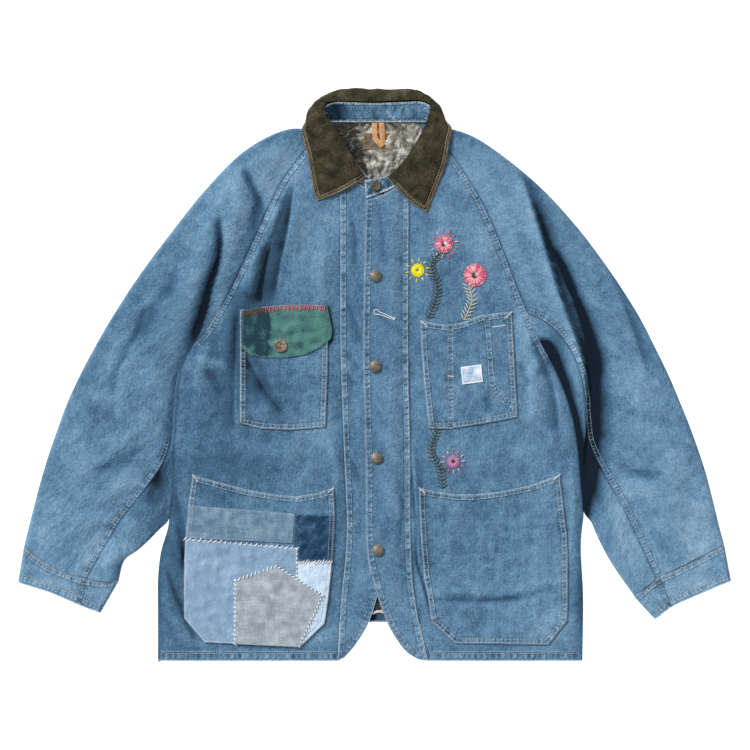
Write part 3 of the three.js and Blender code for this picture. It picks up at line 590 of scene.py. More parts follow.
def sleeve_top(side, x, y, u):
    """Top of a sleeve: as low as the body beside its seam, then level, plus its creases."""
    beside = nearest(SIDES[side]["body_line"][::3], x, y)[0]
    low = FRONT_Z + CLOTH - 2.2 * over_sleeve(side, y)
    level = low + (SLEEVE_Z - low) * smooth(beside / 24) + 2.4 * smooth(beside / 60) * np.sin(math.pi * u)
    away = smooth(beside / 12) * smooth((1.04 - u) * 7)
    uneven = 0.5 * ripples(x, y, 58, 21) + 0.3 * ripples(x, y, 23, 22) + 0.12 * ripples(x, y, 10, 23)
    creases = folds(SLEEVE_FOLDS[side], x, y) + ledges(SLEEVE_LEDGES[side], x, y)
    return level + away * shallow(creases + uneven, 4.6)


# Seams: chains of points that darken, whiten and pucker the cloth beside them

def seam_marks(x, y, pieces):
    """Distance to the nearest of these seams, and the length along it times the seam's gauge."""
    best, run = np.full(x.shape, FAR), np.zeros(x.shape)
    for line, gauge in pieces:
        d, r = nearest(line, x, y)
        closer = d < best
        best, run = np.where(closer, d, best), np.where(closer, r * gauge, run)
    return best, run


# Mesh builders

MADE = {}


def wall(name, outer, inner, uv, marks, ring=False):
    """A closed wall between two equal grids in millimetres: both faces and the four edges.
    marks are fields over the grid that the finish reads; a ring is closed along its rows."""
    rows, cols = outer.shape[:2]
    grid = np.arange(rows * cols).reshape(rows, cols)
    if ring:
        grid = np.hstack([grid, grid[:, :1]])
    a, b, c, d = grid[:-1, :-1], grid[:-1, 1:], grid[1:, 1:], grid[1:, :-1]
    face = np.stack([a, b, c, d], -1).reshape(-1, 4)
    n = rows * cols

    def strip(line, turned):
        p, q = line[:-1], line[1:]
        quads = np.stack([p, q, q + n, p + n], -1)
        return quads if turned else quads[:, ::-1]

    parts = [face, face[:, ::-1] + n, strip(grid[0], False), strip(grid[-1], True)]
    if not ring:
        parts += [strip(grid[:, 0], True), strip(grid[:, -1], False)]
    quads = np.vstack(parts)
    verts = np.vstack([outer.reshape(-1, 3), inner.reshape(-1, 3)]) * MM
    mesh = bpy.data.meshes.new(name)
    mesh.from_pydata(verts.tolist(), [], quads.tolist())
    flat_uv = np.vstack([uv.reshape(-1, 2)] * 2) * MM
    corners = np.empty(len(mesh.loops), np.int32)
    mesh.loops.foreach_get("vertex_index", corners)
    mesh.uv_layers.new(name="cloth").data.foreach_set("uv", flat_uv[corners].ravel())
    for key, field in marks.items():
        values = np.tile(field.ravel(), 2).astype(np.float32)
        mesh.attributes.new(key, "FLOAT", "POINT").data.foreach_set("value", values)
    return finish_mesh(mesh)


def finish_mesh(mesh, angle=50):
    bm = bmesh.new()
    bm.from_mesh(mesh)
    bmesh.ops.recalc_face_normals(bm, faces=bm.faces)
    bm.to_mesh(mesh)
    bm.free()
    mesh.shade_smooth()
    mesh.set_sharp_from_angle(angle=math.radians(angle))
    obj = bpy.data.objects.new(mesh.name, mesh)
    bpy.context.scene.collection.objects.link(obj)
    return obj


def points_of(mesh):
    """A mesh's points in millimetres."""
    co = np.empty(len(mesh.vertices) * 3)
    mesh.vertices.foreach_get("co", co)
    return co.reshape(-1, 3) / MM


def plain(name, verts, faces, paint, angle=50):
    """A mesh given by its points in millimetres, as a piece of the jacket."""
    mesh = bpy.data.meshes.new(name)
    mesh.from_pydata((np.asarray(verts) * MM).tolist(), [], [list(map(int, f)) for f in faces])
    return dress(finish_mesh(mesh, angle), paint)


def dress(obj, paint, node=None):
    """Gives a piece its finish, hangs it on the root and hides the solid that it stands for."""
    obj.data.materials.append(paints()[paint])
    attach(obj, "root")
    if node:
        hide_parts(node)
    return obj


def cloth(name, outer, thick, uv, marks, paint, under=None, ring=False):
    """A cut piece of cloth: its wall and its finish."""
    if under is None:
        under = outer - np.array([0, 0, thick])
    obj = dress(wall(name, outer, under, uv, marks, ring), paint, name)
    MADE[name] = obj
    p, q = outer[1:, 1:] - outer[:-1, :-1], outer[1:, :-1] - outer[:-1, 1:]
    return obj


def ruled(left, right, cols):
    """A grid of straight rows between two chains of equal length."""
    u = np.linspace(0, 1, cols)[None, :, None]
    return left[:, None] * (1 - u) + right[:, None] * u


def coons(top, bottom, left, right, rows, cols):
    """A grid inside four edges: both ruled grids added, less the one through the corners."""
    t, b = evenly(top, cols), evenly(bottom, cols)
    l, r = evenly(left, rows), evenly(right, rows)
    v = np.linspace(0, 1, rows)[:, None, None]
    u = np.linspace(0, 1, cols)[None, :, None]
    corners = ((1 - u) * (1 - v) * t[0] + u * (1 - v) * t[-1] + (1 - u) * v * b[0] + u * v * b[-1])
    return (1 - v) * t[None] + v * b[None] + (1 - u) * l[:, None] + u * r[:, None] - corners


def lift(plan, z):
    return np.concatenate([plan, z[..., None]], -1)


def edge_field(grid):
    """Distance of each point of a grid to the nearest of its four edges, along rows and columns."""
    across = np.linalg.norm(np.diff(grid, axis=1), axis=2)
    down = np.linalg.norm(np.diff(grid, axis=0), axis=2)
    a = np.pad(np.cumsum(across, 1), ((0, 0), (1, 0)))
    d = np.pad(np.cumsum(down, 0), ((1, 0), (0, 0)))
    return np.minimum.reduce([a, a[:, -1:] - a, d, d[-1:] - d])


def marks_for(outer, seams, fade=0.0):
    """What the denim reads: distance from a felled seam's middle, run along it, distance to the
    edge, height over the cloth around, which the finishes paint as shade and light, and tone from wear with
    painted shade and light."""
    x, y = outer[..., 0], outer[..., 1]
    d, run = seam_marks(x, y, seams)
    z = outer[..., 2]
    relief = z - box_blur(z, 6)
    return {
        "seam": d, "run": run, "edge": np.minimum(edge_field(outer), FAR),
        "relief": np.clip(relief, -3, 3), "fade": ovals(ZONES, x, y) + fade,
    }


def box_blur(z, r):
    """The mean over a square of the grid, found from running sums in both directions."""
    for axis in (0, 1):
        pad = [(0, 0), (0, 0)]
        pad[axis] = (r + 1, r)
        s = np.cumsum(np.pad(z, pad, mode="edge"), axis=axis)
        n = z.shape[axis]
        take = [slice(None), slice(None)]
        give = [slice(None), slice(None)]
        take[axis], give[axis] = slice(2 * r + 1, 2 * r + 1 + n), slice(0, n)
        z = (s[tuple(take)] - s[tuple(give)]) / (2 * r + 1)
    return z


# Shader kit


def srgb(r, g, b):
    """A colour as it is seen, 0 to 255, in the linear values that a shader takes."""
    c = np.array([r, g, b]) / 255
    lin = np.where(c <= 0.04045, c / 12.92, ((c + 0.055) / 1.055) ** 2.4)
    return (*lin.tolist(), 1.0)


class Value:
    """A socket that takes part in arithmetic: each operation adds a Math node."""

    def __init__(self, paint, socket):
        self.paint, self.socket = paint, socket

    def _op(self, operation, a, b=0.0, clamp=False):
        return self.paint.node("ShaderNodeMath", {"operation": operation, "use_clamp": clamp}, a, b)

    def __add__(self, o): return self._op("ADD", self, o)
    def __radd__(self, o): return self._op("ADD", o, self)
    def __sub__(self, o): return self._op("SUBTRACT", self, o)
    def __rsub__(self, o): return self._op("SUBTRACT", o, self)
    def __mul__(self, o): return self._op("MULTIPLY", self, o)
    def __rmul__(self, o): return self._op("MULTIPLY", o, self)
    def clamp(self): return self._op("ADD", self, 0.0, True)
    def sin(self): return self._op("SINE", self)
    def abs(self): return self._op("ABSOLUTE", self)
    def least(self, o): return self._op("MINIMUM", self, o)
    def most(self, o): return self._op("MAXIMUM", self, o)


class Paint:
    """One material: every node comes from node(), with its settings first and then its inputs."""

    def __init__(self, name):
        self.material = bpy.data.materials.new(name)
        self.material.use_nodes = True
        self.tree = self.material.node_tree
        self.tree.nodes.clear()

    def node(self, kind, settings, *inputs, out=0, **named):
        made = self.tree.nodes.new(kind)
        for key, value in settings.items():
            if key == "stops":
                self._stops(made.color_ramp, value)
            else:
                setattr(made, key, value)
        for key, value in [*enumerate(inputs), *named.items()]:
            if value is not None:
                self._give(made.inputs[key], value)
        return Value(self, made.outputs[out]) if made.outputs else None

    def _give(self, socket, value):
        if isinstance(value, Value):
            self.tree.links.new(value.socket, socket)
        else:
            socket.default_value = value

    def _stops(self, ramp, stops):
        while len(ramp.elements) < len(stops):
            ramp.elements.new(0.5)
        for element, (place, colour) in zip(ramp.elements, stops):
            element.position, element.color = place, colour

    def ramp(self, value, *stops):
        return self.node("ShaderNodeValToRGB", {"stops": stops}, value)

    def mix(self, share, a, b):
        """Colour a, with this share of colour b over it."""
        made = self.node("ShaderNodeMix", {"data_type": "RGBA", "clamp_factor": True}, share).socket.node
        self._give(made.inputs[6], a)
        self._give(made.inputs[7], b)
        return Value(self, made.outputs[2])

    def uv(self, across=1.0, along=1.0):
        place = self.node("ShaderNodeUVMap", {"uv_map": "cloth"})
        return self.scale(place, across, along, 1.0)

    def object(self, x=1.0, y=1.0, z=1.0):
        return self.scale(self.node("ShaderNodeTexCoord", {}, out=3), x, y, z)

    def scale(self, vector, x, y, z):
        return self.node("ShaderNodeVectorMath", {"operation": "MULTIPLY"}, vector, (x, y, z))

    def join(self, x, y, z):
        return self.node("ShaderNodeCombineXYZ", {}, x, y, z)

    def part(self, vector, axis):
        return self.node("ShaderNodeSeparateXYZ", {}, vector, out=axis)

    def noise(self, vector, scale, detail=2.0, rough=0.5):
        return self.node("ShaderNodeTexNoise", {}, Vector=vector, Scale=scale, Detail=detail,
                         Roughness=rough)

    def cells(self, vector, scale):
        return self.node("ShaderNodeTexVoronoi", {"feature": "F1"}, Vector=vector, Scale=scale)

    def mark(self, name):
        return self.node("ShaderNodeAttribute", {"attribute_name": name}, out=2)

    def fall(self, value, start, end):
        """One below start, zero above end, smooth between."""
        settings = {"interpolation_type": "SMOOTHSTEP"}
        return self.node("ShaderNodeMapRange", settings, value, start, end, 1.0, 0.0)

    def bump(self, height, strength, distance):
        return self.node("ShaderNodeBump", {}, Strength=strength, Distance=distance, Height=height)

    def surface(self, colour, roughness, normal=None, sheen=0.0, metallic=0.0, specular=0.3):
        inputs = {"Base Color": colour, "Roughness": roughness, "Normal": normal, "Metallic": metallic,
                  "Sheen Weight": sheen, "Specular IOR Level": specular}
        made = self.node("ShaderNodeBsdfPrincipled", {}, **inputs)
        self.node("ShaderNodeOutputMaterial", {}, made)
        return self.material


def denim(name, tones, grain=1.0, puckers=1.0, worn=1.0):
    """Washed twill: slubs along the grain, fine speckle, broad fading, roped felled seams and pale
    edges, with painted shade in the ditch beyond each seam and in the hollows of the relief, and painted
    light on its crests. tones run from the painted shade of its deepest folds to its lightest rubs, and end
    with its bare edges."""
    p = Paint(name)
    uv = p.uv()
    mottle = p.noise(uv, 24.0, 3.0, 0.6)
    broad = p.noise(uv, 6.0, 2.0, 0.5)
    cloud = p.noise(uv, 90.0, 2.0, 0.55)
    slub = p.noise(p.uv(1.0, 0.35), 420.0, 2.0, 0.6)
    weft = p.noise(p.uv(0.4, 1.0), 360.0, 1.0, 0.5)
    speck = p.noise(uv, 380.0, 2.0, 0.7)
    twill = (p.part(uv, 0) * 2600.0 + p.part(uv, 1) * 2100.0).sin()
    seam, run, edge = p.mark("seam"), p.mark("run"), p.mark("edge")
    fell = p.fall(seam, 2.6, 3.8)
    near = p.fall(seam, 3.5, 11.0)
    wander = mottle * 9.0 + cloud * 4.0
    tuft = p.noise(p.join(run * 0.42 + seam * 0.22, seam * 0.16, broad * 9.0), 1.0, 1.0)
    pull = p.noise(p.join(run * 0.16, seam * 0.05, mottle * 3.0), 1.0, 2.0)
    beat = (run * 1.85 + wander * 0.25 + seam * 0.4).sin()
    rope = ((tuft - 0.5) * 3.5 + beat * 0.65) * fell * puckers
    pit = beat.most(0.0) * p.fall(seam, 1.2, 2.8) * puckers * (0.25 + tuft * 1.1)
    drag = (pull - 0.5) * 3.6 * near * puckers
    lip = (1.0 - ((seam - 3.3).abs() * 1.3).least(1.0)) * puckers * (0.3 + cloud)
    ditch_shade = (1.0 - ((seam - 4.4).abs() * 1.3).least(1.0)) * puckers * (0.2 + cloud * 1.2)
    rumple = p.noise(p.uv(1.0, 0.5), 60.0, 3.0, 0.65)
    relief = p.mark("relief")
    calm = (p.mark("fade") * 1.1 + 1.1).clamp()
    grit = ((mottle - 0.5) * (0.36 * worn) + (cloud - 0.5) * (0.3 * worn)
            + (slub - 0.5) * (0.46 * grain) + (weft - 0.5) * (0.2 * grain)
            + (speck - 0.5) * (0.72 * grain) + (rumple - 0.5) * (0.34 * worn))
    # Painted shade and light: the relief darker in its hollows and lighter on its crests, the ditch beyond
    # each seam darker; the tone mark read from the mesh carries painted shade as well as wear.
    tone = (0.53 + grit * calm + (broad - 0.5) * 0.3
            + twill * 0.02 + p.mark("fade") + relief.least(0.0) * 0.12 + relief.most(0.0) * 0.05
            + fell * (0.1 * puckers) + rope * 0.29 + drag * 0.18 + lip * 0.07 - ditch_shade * 0.14 - pit * 0.5)
    body = p.ramp(tone * 0.75 + 0.25, *zip((0.0, 0.47, 0.7, 1.0), tones))
    rub = p.fall(edge, 0.8, 3.0) * (0.1 + mottle * 0.8) * worn
    rub = (rub + (rope * 0.22 + lip * 0.12).most(0.0)).clamp()
    colour = p.mix(rub, body, tones[4])
    height = (twill * 0.05 + slub * 0.45 * grain + speck * 0.35 * grain + weft * 0.25 + mottle * 1.2
              + cloud * 0.8 + rope * 0.7 + drag * 0.8 + lip * 0.6 - ditch_shade * 0.5 - pit * 0.7
              + rumple * 2.4 * worn)
    return p.surface(colour, 0.92, p.bump(height, 0.9, 0.0013), sheen=0.05, specular=0.12)


def canvas(name, tones, threads=1.0, rim=0.4, blotch=1.2):
    """Plain cotton: threads over and under each way, uneven dye and pale, rubbed edges."""
    p = Paint(name)
    uv = p.uv()
    mottle = p.noise(uv, 40.0, 3.0, 0.6)
    slub = p.noise(p.uv(1.0, 0.12), 480.0, 2.0, 0.6)
    weft = p.noise(p.uv(0.12, 1.0), 480.0, 2.0, 0.6)
    weave = (p.part(uv, 0) * 5600.0).sin() * (p.part(uv, 1) * 5600.0).sin()
    edge = p.mark("edge")
    speck = p.noise(uv, 380.0, 2.0, 0.7)
    # The relief is painted darker in its hollows and lighter on its crests, as painted shade and light; the
    # tone mark carries painted shade as well as wear.
    tone = (0.5 + (mottle - 0.5) * blotch + (slub - 0.5) * 0.8 * threads + (weft - 0.5) * 0.8 * threads
            + (speck - 0.5) * 0.9 + weave * 0.04 + p.mark("relief") * 0.3 + p.mark("fade"))
    body = p.ramp(tone, *zip((0.0, 0.5, 1.0), tones))
    colour = p.mix(p.fall(edge, 0.4, 2.2) * rim, body, tones[2])
    height = weave * 0.1 + slub * 0.5 + weft * 0.5 + mottle * 2.4 + speck * 0.4
    return p.surface(colour, 0.9, p.bump(height, 0.6, 0.0009), sheen=0.05, specular=0.15)


def corduroy(name):
    """Fine wales along the fall, a dusty nap rubbed paler in patches, and roped edges between two
    rows of stitches, with painted shade along the sunk rows of stitches and in the hollows of the relief, and
    painted light on its crests."""
    p = Paint(name)
    uv = p.uv()
    nap = p.noise(uv, 45.0, 4.0, 0.65)
    dust = p.noise(uv, 330.0, 3.0, 0.7)
    wale = (p.part(uv, 0) * 2400.0 + nap * 3.0).sin()
    edge = p.mark("edge")
    lip = 1.0 - ((edge - 1.4).abs() * 0.8).least(1.0)
    rope = 1.0 - ((edge - 5.0).abs() * 0.75).least(1.0)
    ditch_shade = (1.0 - ((edge - 3.1).abs() * 1.2).least(1.0)) + (1.0 - ((edge - 6.9).abs() * 1.1).least(1.0))
    tone = (0.38 + p.mark("fade") + (nap - 0.5) * 1.25 + wale * 0.035 + (dust - 0.5) * 1.0
            + p.mark("relief") * 0.2 + lip * (0.35 + nap * 0.8) + rope * (0.22 + nap * 0.9) - ditch_shade * 0.42)
    body = p.ramp(tone, (0.0, srgb(26, 25, 16)), (0.45, srgb(66, 62, 46)), (0.75, srgb(98, 91, 72)),
                  (1.0, srgb(150, 138, 116)))
    colour = p.mix(p.fall(edge, 0.3, 1.2) * (0.2 + nap * 0.8), body, srgb(160, 144, 120))
    height = wale * 0.2 + nap * 2.4 + dust * 0.7 + lip * 1.0 + rope * 1.1 - ditch_shade * 1.1
    return p.surface(colour, 0.95, p.bump(height, 0.9, 0.0013), sheen=0.1, specular=0.1)


def satin(name, tones):
    """A shiny lining, crushed: sharp ridges where a bent noise is at its middle value, which the
    light from one side makes bright on one flank and dark on the other. The same lines are also painted
    darker, the gloss is a painted sheen in patches, and the relief is painted as shade and light."""
    p = Paint(name)
    uv = p.uv()
    bend = p.node("ShaderNodeTexNoise", {}, Vector=uv, Scale=30.0, Detail=2.0, out=1)
    pull = p.node("ShaderNodeVectorMath", {"operation": "MULTIPLY_ADD"}, bend, (0.03, 0.012, 0.02), uv)
    wide, narrow = p.noise(pull, 56.0, 1.0), p.noise(pull, 120.0, 1.0)
    ridge = (wide - 0.5).abs() * 5.0
    fine = (narrow - 0.5).abs() * 3.0
    gloss = p.noise(pull, 90.0, 2.0)
    thread = p.noise(p.uv(0.08, 1.0), 800.0, 1.0)
    tone = (0.53 + (gloss - 0.5) * 0.5 + (ridge.least(1.0) - 0.4) * 0.8 + (fine.least(1.0) - 0.4) * 0.4
            + (thread - 0.5) * 0.2 + p.mark("fade") + p.mark("relief") * 0.25)
    colour = p.ramp(tone, *zip((0.0, 0.5, 1.0), tones))
    return p.surface(colour, 0.45, p.bump(ridge + fine * 0.7 + gloss, 1.0, 0.0022), sheen=0.1, specular=0.5)


def thread(name, colour, shade):
    """Twisted cotton: a painted diagonal of light and shade along each stitch, and darker patches of dirt."""
    p = Paint(name)
    place = p.object(2600.0, 2600.0, 2600.0)
    twist = (p.part(place, 0) + p.part(place, 1) * 1.3).sin() * 0.5 + 0.5
    dirt = p.noise(p.object(), 90.0, 2.0)
    colour = p.mix(((dirt - 0.35) * 0.9 + twist * 0.15).clamp(), colour, shade)
    return p.surface(colour, 0.85, p.bump(twist, 0.4, 0.0002), sheen=0.1, specular=0.2)


def leather(name):
    """Tan tape: pores, fine cracks across it and darker, handled edges."""
    p = Paint(name)
    grain = p.cells(p.object(), 900.0)
    patchy = p.noise(p.object(), 120.0, 4.0, 0.65)
    crack = p.noise(p.object(1.0, 3.0, 1.0), 420.0, 3.0, 0.6)
    tone = 0.5 + (patchy - 0.5) * 1.1 + (crack - 0.5) * 0.6 - grain * 0.12
    colour = p.ramp(tone, (0.0, srgb(158, 104, 62)), (0.5, srgb(216, 158, 108)), (1.0, srgb(246, 200, 156)))
    return p.surface(colour, 0.6, p.bump(patchy * 1.2 - grain + crack * 0.6, 0.5, 0.0005), specular=0.3)


def metal(name, dark, light):
    """Antique brass: dull and dark in patches, brighter between them, with fine scratches."""
    p = Paint(name)
    dirt = p.noise(p.object(), 260.0, 4.0, 0.65)
    scratch = p.noise(p.object(1.0, 7.0, 1.0), 500.0, 2.0)
    colour = p.ramp(dirt * 0.7 + scratch * 0.3, (0.3, dark), (0.62, light))
    rough = 0.38 + dirt * 0.25
    return p.surface(colour, rough, p.bump(dirt + scratch * 0.4, 0.25, 0.0004), metallic=0.35, specular=0.5)


def horn(name):
    """Polished horn: cloudy rings of olive and tan."""
    p = Paint(name)
    cloud = p.noise(p.object(1.0, 1.6, 1.0), 160.0, 3.0, 0.6)
    colour = p.ramp(cloud, (0.3, srgb(76, 66, 54)), (0.5, srgb(128, 112, 94)), (0.72, srgb(178, 164, 146)))
    return p.surface(colour, 0.28, p.bump(cloud, 0.1, 0.0003), specular=0.5)


def floor_paint():
    p = Paint("floor")
    cloud = p.noise(p.object(), 3.0, 2.0)
    colour = p.mix(cloud * 0.02, (0.5, 0.5, 0.5, 1.0), (0.48, 0.48, 0.48, 1.0))
    made = p.node("ShaderNodeBsdfPrincipled", {}, **{
        "Base Color": colour, "Roughness": 0.9, "Specular IOR Level": 0.0,
        "Emission Color": (1.0, 1.0, 1.0, 1.0), "Emission Strength": 0.95})
    p.node("ShaderNodeOutputMaterial", {}, made)
    return p.material


# Colours as they are seen, from dark to light; the darkest tones of denim and denim_stand are painted shade,
# for deep folds and shadowed places.
DENIMS = {
    "denim": ("denim", [(14, 28, 42), (68, 104, 134), (104, 142, 172), (148, 182, 208), (176, 198, 214)], {}),
    "denim_stand": ("denim_stand", [(14, 34, 56), (60, 96, 124), (100, 136, 164), (158, 190, 210),
                                    (186, 204, 216)], dict(worn=1.8)),
    "light": ("light_denim", [(96, 128, 158), (124, 155, 184), (142, 171, 199), (180, 204, 226),
                              (200, 216, 230)], dict(grain=0.8, puckers=0.0)),
    "indigo": ("indigo_denim", [(12, 30, 50), (28, 56, 84), (46, 80, 110), (92, 124, 152),
                                (96, 128, 156)], dict(grain=1.2, puckers=0.0)),
    "pale": ("pale_denim", [(150, 178, 204), (188, 212, 236), (208, 228, 248), (232, 244, 254),
                            (238, 246, 253)], dict(grain=0.8, puckers=0.0)),
}
CANVASES = {
    "grey": ("grey_blue_cotton", [(84, 114, 136), (112, 141, 164), (146, 170, 188)], {}),
    "stone": ("stone_cotton", [(138, 148, 158), (163, 174, 184), (190, 200, 208)], {}),
    "teal": ("teal_cotton", [(34, 64, 76), (78, 126, 122), (108, 152, 146)],
             dict(threads=0.4, rim=0.3, blotch=0.6)),
    "tape": ("white_tape", [(116, 148, 190), (190, 210, 232), (246, 250, 254)], dict(rim=1.0)),
    "cream": ("cream_binding", [(150, 146, 132), (196, 194, 184), (222, 220, 212)], {}),
    "label": ("bare_label", [(76, 68, 54), (110, 102, 88), (150, 142, 126)], {}),
}
THREADS = {
    "off_white": ("off_white_thread", (206, 212, 212), (140, 160, 174)),
    "worn_thread": ("worn_thread", (174, 194, 208), (124, 152, 174)),
    "tan": ("tan_thread", (190, 170, 138), (120, 106, 82)),
    "white_thread": ("white_thread", (250, 251, 252), (214, 222, 230)),
    "dark_thread": ("dark_thread", (80, 80, 54), (46, 52, 38)),
    "violet_thread": ("violet_thread", (204, 146, 188), (158, 96, 150)),
    "cream_thread": ("cream_thread", (226, 218, 194), (168, 166, 148)),
    "pink_thread": ("pink_thread", (232, 112, 146), (198, 70, 110)),
    "rose_thread": ("rose_thread", (250, 196, 200), (226, 150, 160)),
    "yellow_thread": ("yellow_thread", (250, 236, 40), (222, 200, 30)),
    "brown_thread": ("brown_thread", (122, 96, 68), (70, 56, 44)),
    "peach_thread": ("peach_thread", (214, 158, 122), (166, 112, 92)),
    "orange_thread": ("orange_thread", (220, 134, 66), (168, 92, 44)),
}
PAINTS = {}


def seen(tones):
    """Colours as they are seen, as a shader takes them."""
    return [srgb(*tone) for tone in tones]


def paints():
    """All the finishes, made once."""
    if PAINTS:
        return PAINTS
    for make, table in ((denim, DENIMS), (canvas, CANVASES)):
        for key, (name, tones, looks) in table.items():
            PAINTS[key] = make(name, seen(tones), **looks)
    for key, (name, *tones) in THREADS.items():
        PAINTS[key] = thread(name, *seen(tones))
    PAINTS.update(
        corduroy=corduroy("corduroy"),
        # The lining's darkest tone is painted shade, for the collar's shadow and its creases.
        lining=satin("neck_lining", seen([(34, 32, 22), (142, 138, 127), (200, 197, 188)])),
        leather=leather("tan_leather"),
        brass=metal("antique_brass", *seen([(66, 62, 54), (152, 144, 128)])),
        flat_brass=metal("flat_brass", *seen([(58, 54, 44), (104, 96, 80)])),
        horn=horn("horn"),
    )
    return PAINTS


# Stitches


def capsules(a, b, r, arch, rings=3, sides=4):
    """Short threads from a to b: rings around a line that rises by an arch in its middle,
    narrower at both ends. Everything is worked out for all the threads at once."""
    n = len(a)
    t = np.linspace(0, 1, rings)
    line = a[:, None] + (b - a)[:, None] * t[None, :, None]
    line[..., 2] += arch * np.sin(math.pi * t)[None] - 0.15 * r
    along = b - a
    along /= np.linalg.norm(along, axis=1, keepdims=True) + 1e-9
    across = np.cross(along, [0.0, 0.0, 1.0])
    across /= np.linalg.norm(across, axis=1, keepdims=True) + 1e-9
    over = np.cross(across, along)
    angle = np.linspace(0, 2 * math.pi, sides, endpoint=False) + math.pi / sides
    width = r * (0.55 + 0.45 * np.sin(math.pi * t))
    ring = across[:, None, :] * np.cos(angle)[None, :, None] + over[:, None, :] * np.sin(angle)[None, :, None]
    verts = (line[:, :, None] + ring[:, None] * width[None, :, None, None]).reshape(-1, 3)
    base = (np.arange(n) * rings * sides)[:, None, None]
    i = np.arange(rings - 1)[None, :, None] * sides
    j = np.arange(sides)[None, None, :]
    k = (j + 1) % sides
    quads = np.stack([base + i + j, base + i + k, base + i + sides + k, base + i + sides + j], -1)
    ends = []
    for first in (0, (rings - 1) * sides):
        cap = base[:, 0] + first + np.arange(sides)[None]
        ends.append(cap[:, ::-1] if first == 0 else cap)
    return verts, quads.reshape(-1, 4).tolist() + np.vstack(ends).tolist()


class Ground:
    """The cloth that is there so far, asked for its height from straight above."""

    def __init__(self, names):
        verts, faces = [], []
        for name in names:
            mesh = MADE[name].data
            start = len(verts)
            verts.extend(map(tuple, points_of(mesh) * MM))
            faces.extend(tuple(v + start for v in f.vertices) for f in mesh.polygons)
        self.tree = BVHTree.FromPolygons(verts, faces)

    def top(self, points):
        """The same places in the plane with the cloth's height under each, in millimetres."""
        out = []
        for x, y in np.asarray(points)[:, :2]:
            hit = self.tree.ray_cast(Vector((x * MM, y * MM, 0.1)), Vector((0, 0, -1)))[0]
            out.append((x, y, hit.z / MM if hit else 4.0))
        return np.array(out)


GROUND = {}


def stitch_ends(rows, length):
    """Where the machine stitches along chains of points start and end, at the panel's pitch."""
    starts, ends = [], []
    for row in rows:
        row = np.asarray(row, float)
        runs = lengths(row)
        count = max(2, int(runs[-1] / settings().pitch))
        at = np.arange(count) * runs[-1] / count
        for store, shift in ((starts, 0.0), (ends, length)):
            where = np.minimum(at + shift, runs[-1])
            store.append(np.stack([np.interp(where, runs, axis) for axis in row.T], 1))
    return np.vstack(starts), np.vstack(ends)


def stitch_rows(name, rows, paint, r=0.4):
    """Machine stitches along chains of points, laid on the cloth below."""
    ground = GROUND["all"]
    a, b = (ground.top(ends) for ends in stitch_ends(rows, 2.4))
    verts, faces = capsules(a + [0, 0, 0.1], b + [0, 0, 0.1], r, 0.18)
    return plain(name, verts, faces, paint, 80)


def hand_stitches(name, pairs, paint, r=0.5, arch=0.5):
    """Hand stitches, each from one place to another."""
    pairs = np.asarray(pairs, float)
    ground = GROUND["all"]
    a, b = ground.top(pairs[:, 0]), ground.top(pairs[:, 1])
    mid = ground.top(pairs.mean(1))[:, 2] - (a[:, 2] + b[:, 2]) / 2
    a[:, 2] += np.maximum(mid, 0) + r * 0.3
    b[:, 2] += np.maximum(mid, 0) + r * 0.3
    verts, faces = capsules(a, b, r, arch, 4, 5)
    return plain(name, verts, faces, paint, 80)


# Operators


class JacketSettings(bpy.types.PropertyGroup):
    """Sizes and lights that a user would change."""

    grid: bpy.props.FloatProperty(
        name="Cloth grid", description="Spacing of the cloth's points", default=3.0, min=2.0, max=12.0)
    pitch: bpy.props.FloatProperty(
        name="Stitch pitch", description="Length of one machine stitch, in millimetres", default=3.3, min=2.0)
    view_width: bpy.props.FloatProperty(
        name="View width", description="Width that the camera takes in", default=1.03125, unit="LENGTH")
    camera_height: bpy.props.FloatProperty(
        name="Camera height", description="Height of the camera above the jacket", default=4.0,
        unit="LENGTH")
    key: bpy.props.FloatProperty(
        name="Key light", description="Strength of the light from the upper left", default=3.1, min=0.0)
    fill: bpy.props.FloatProperty(
        name="Fill light", description="Strength of the light from all round", default=0.42, min=0.0)


def settings():
    return bpy.context.scene.jacket


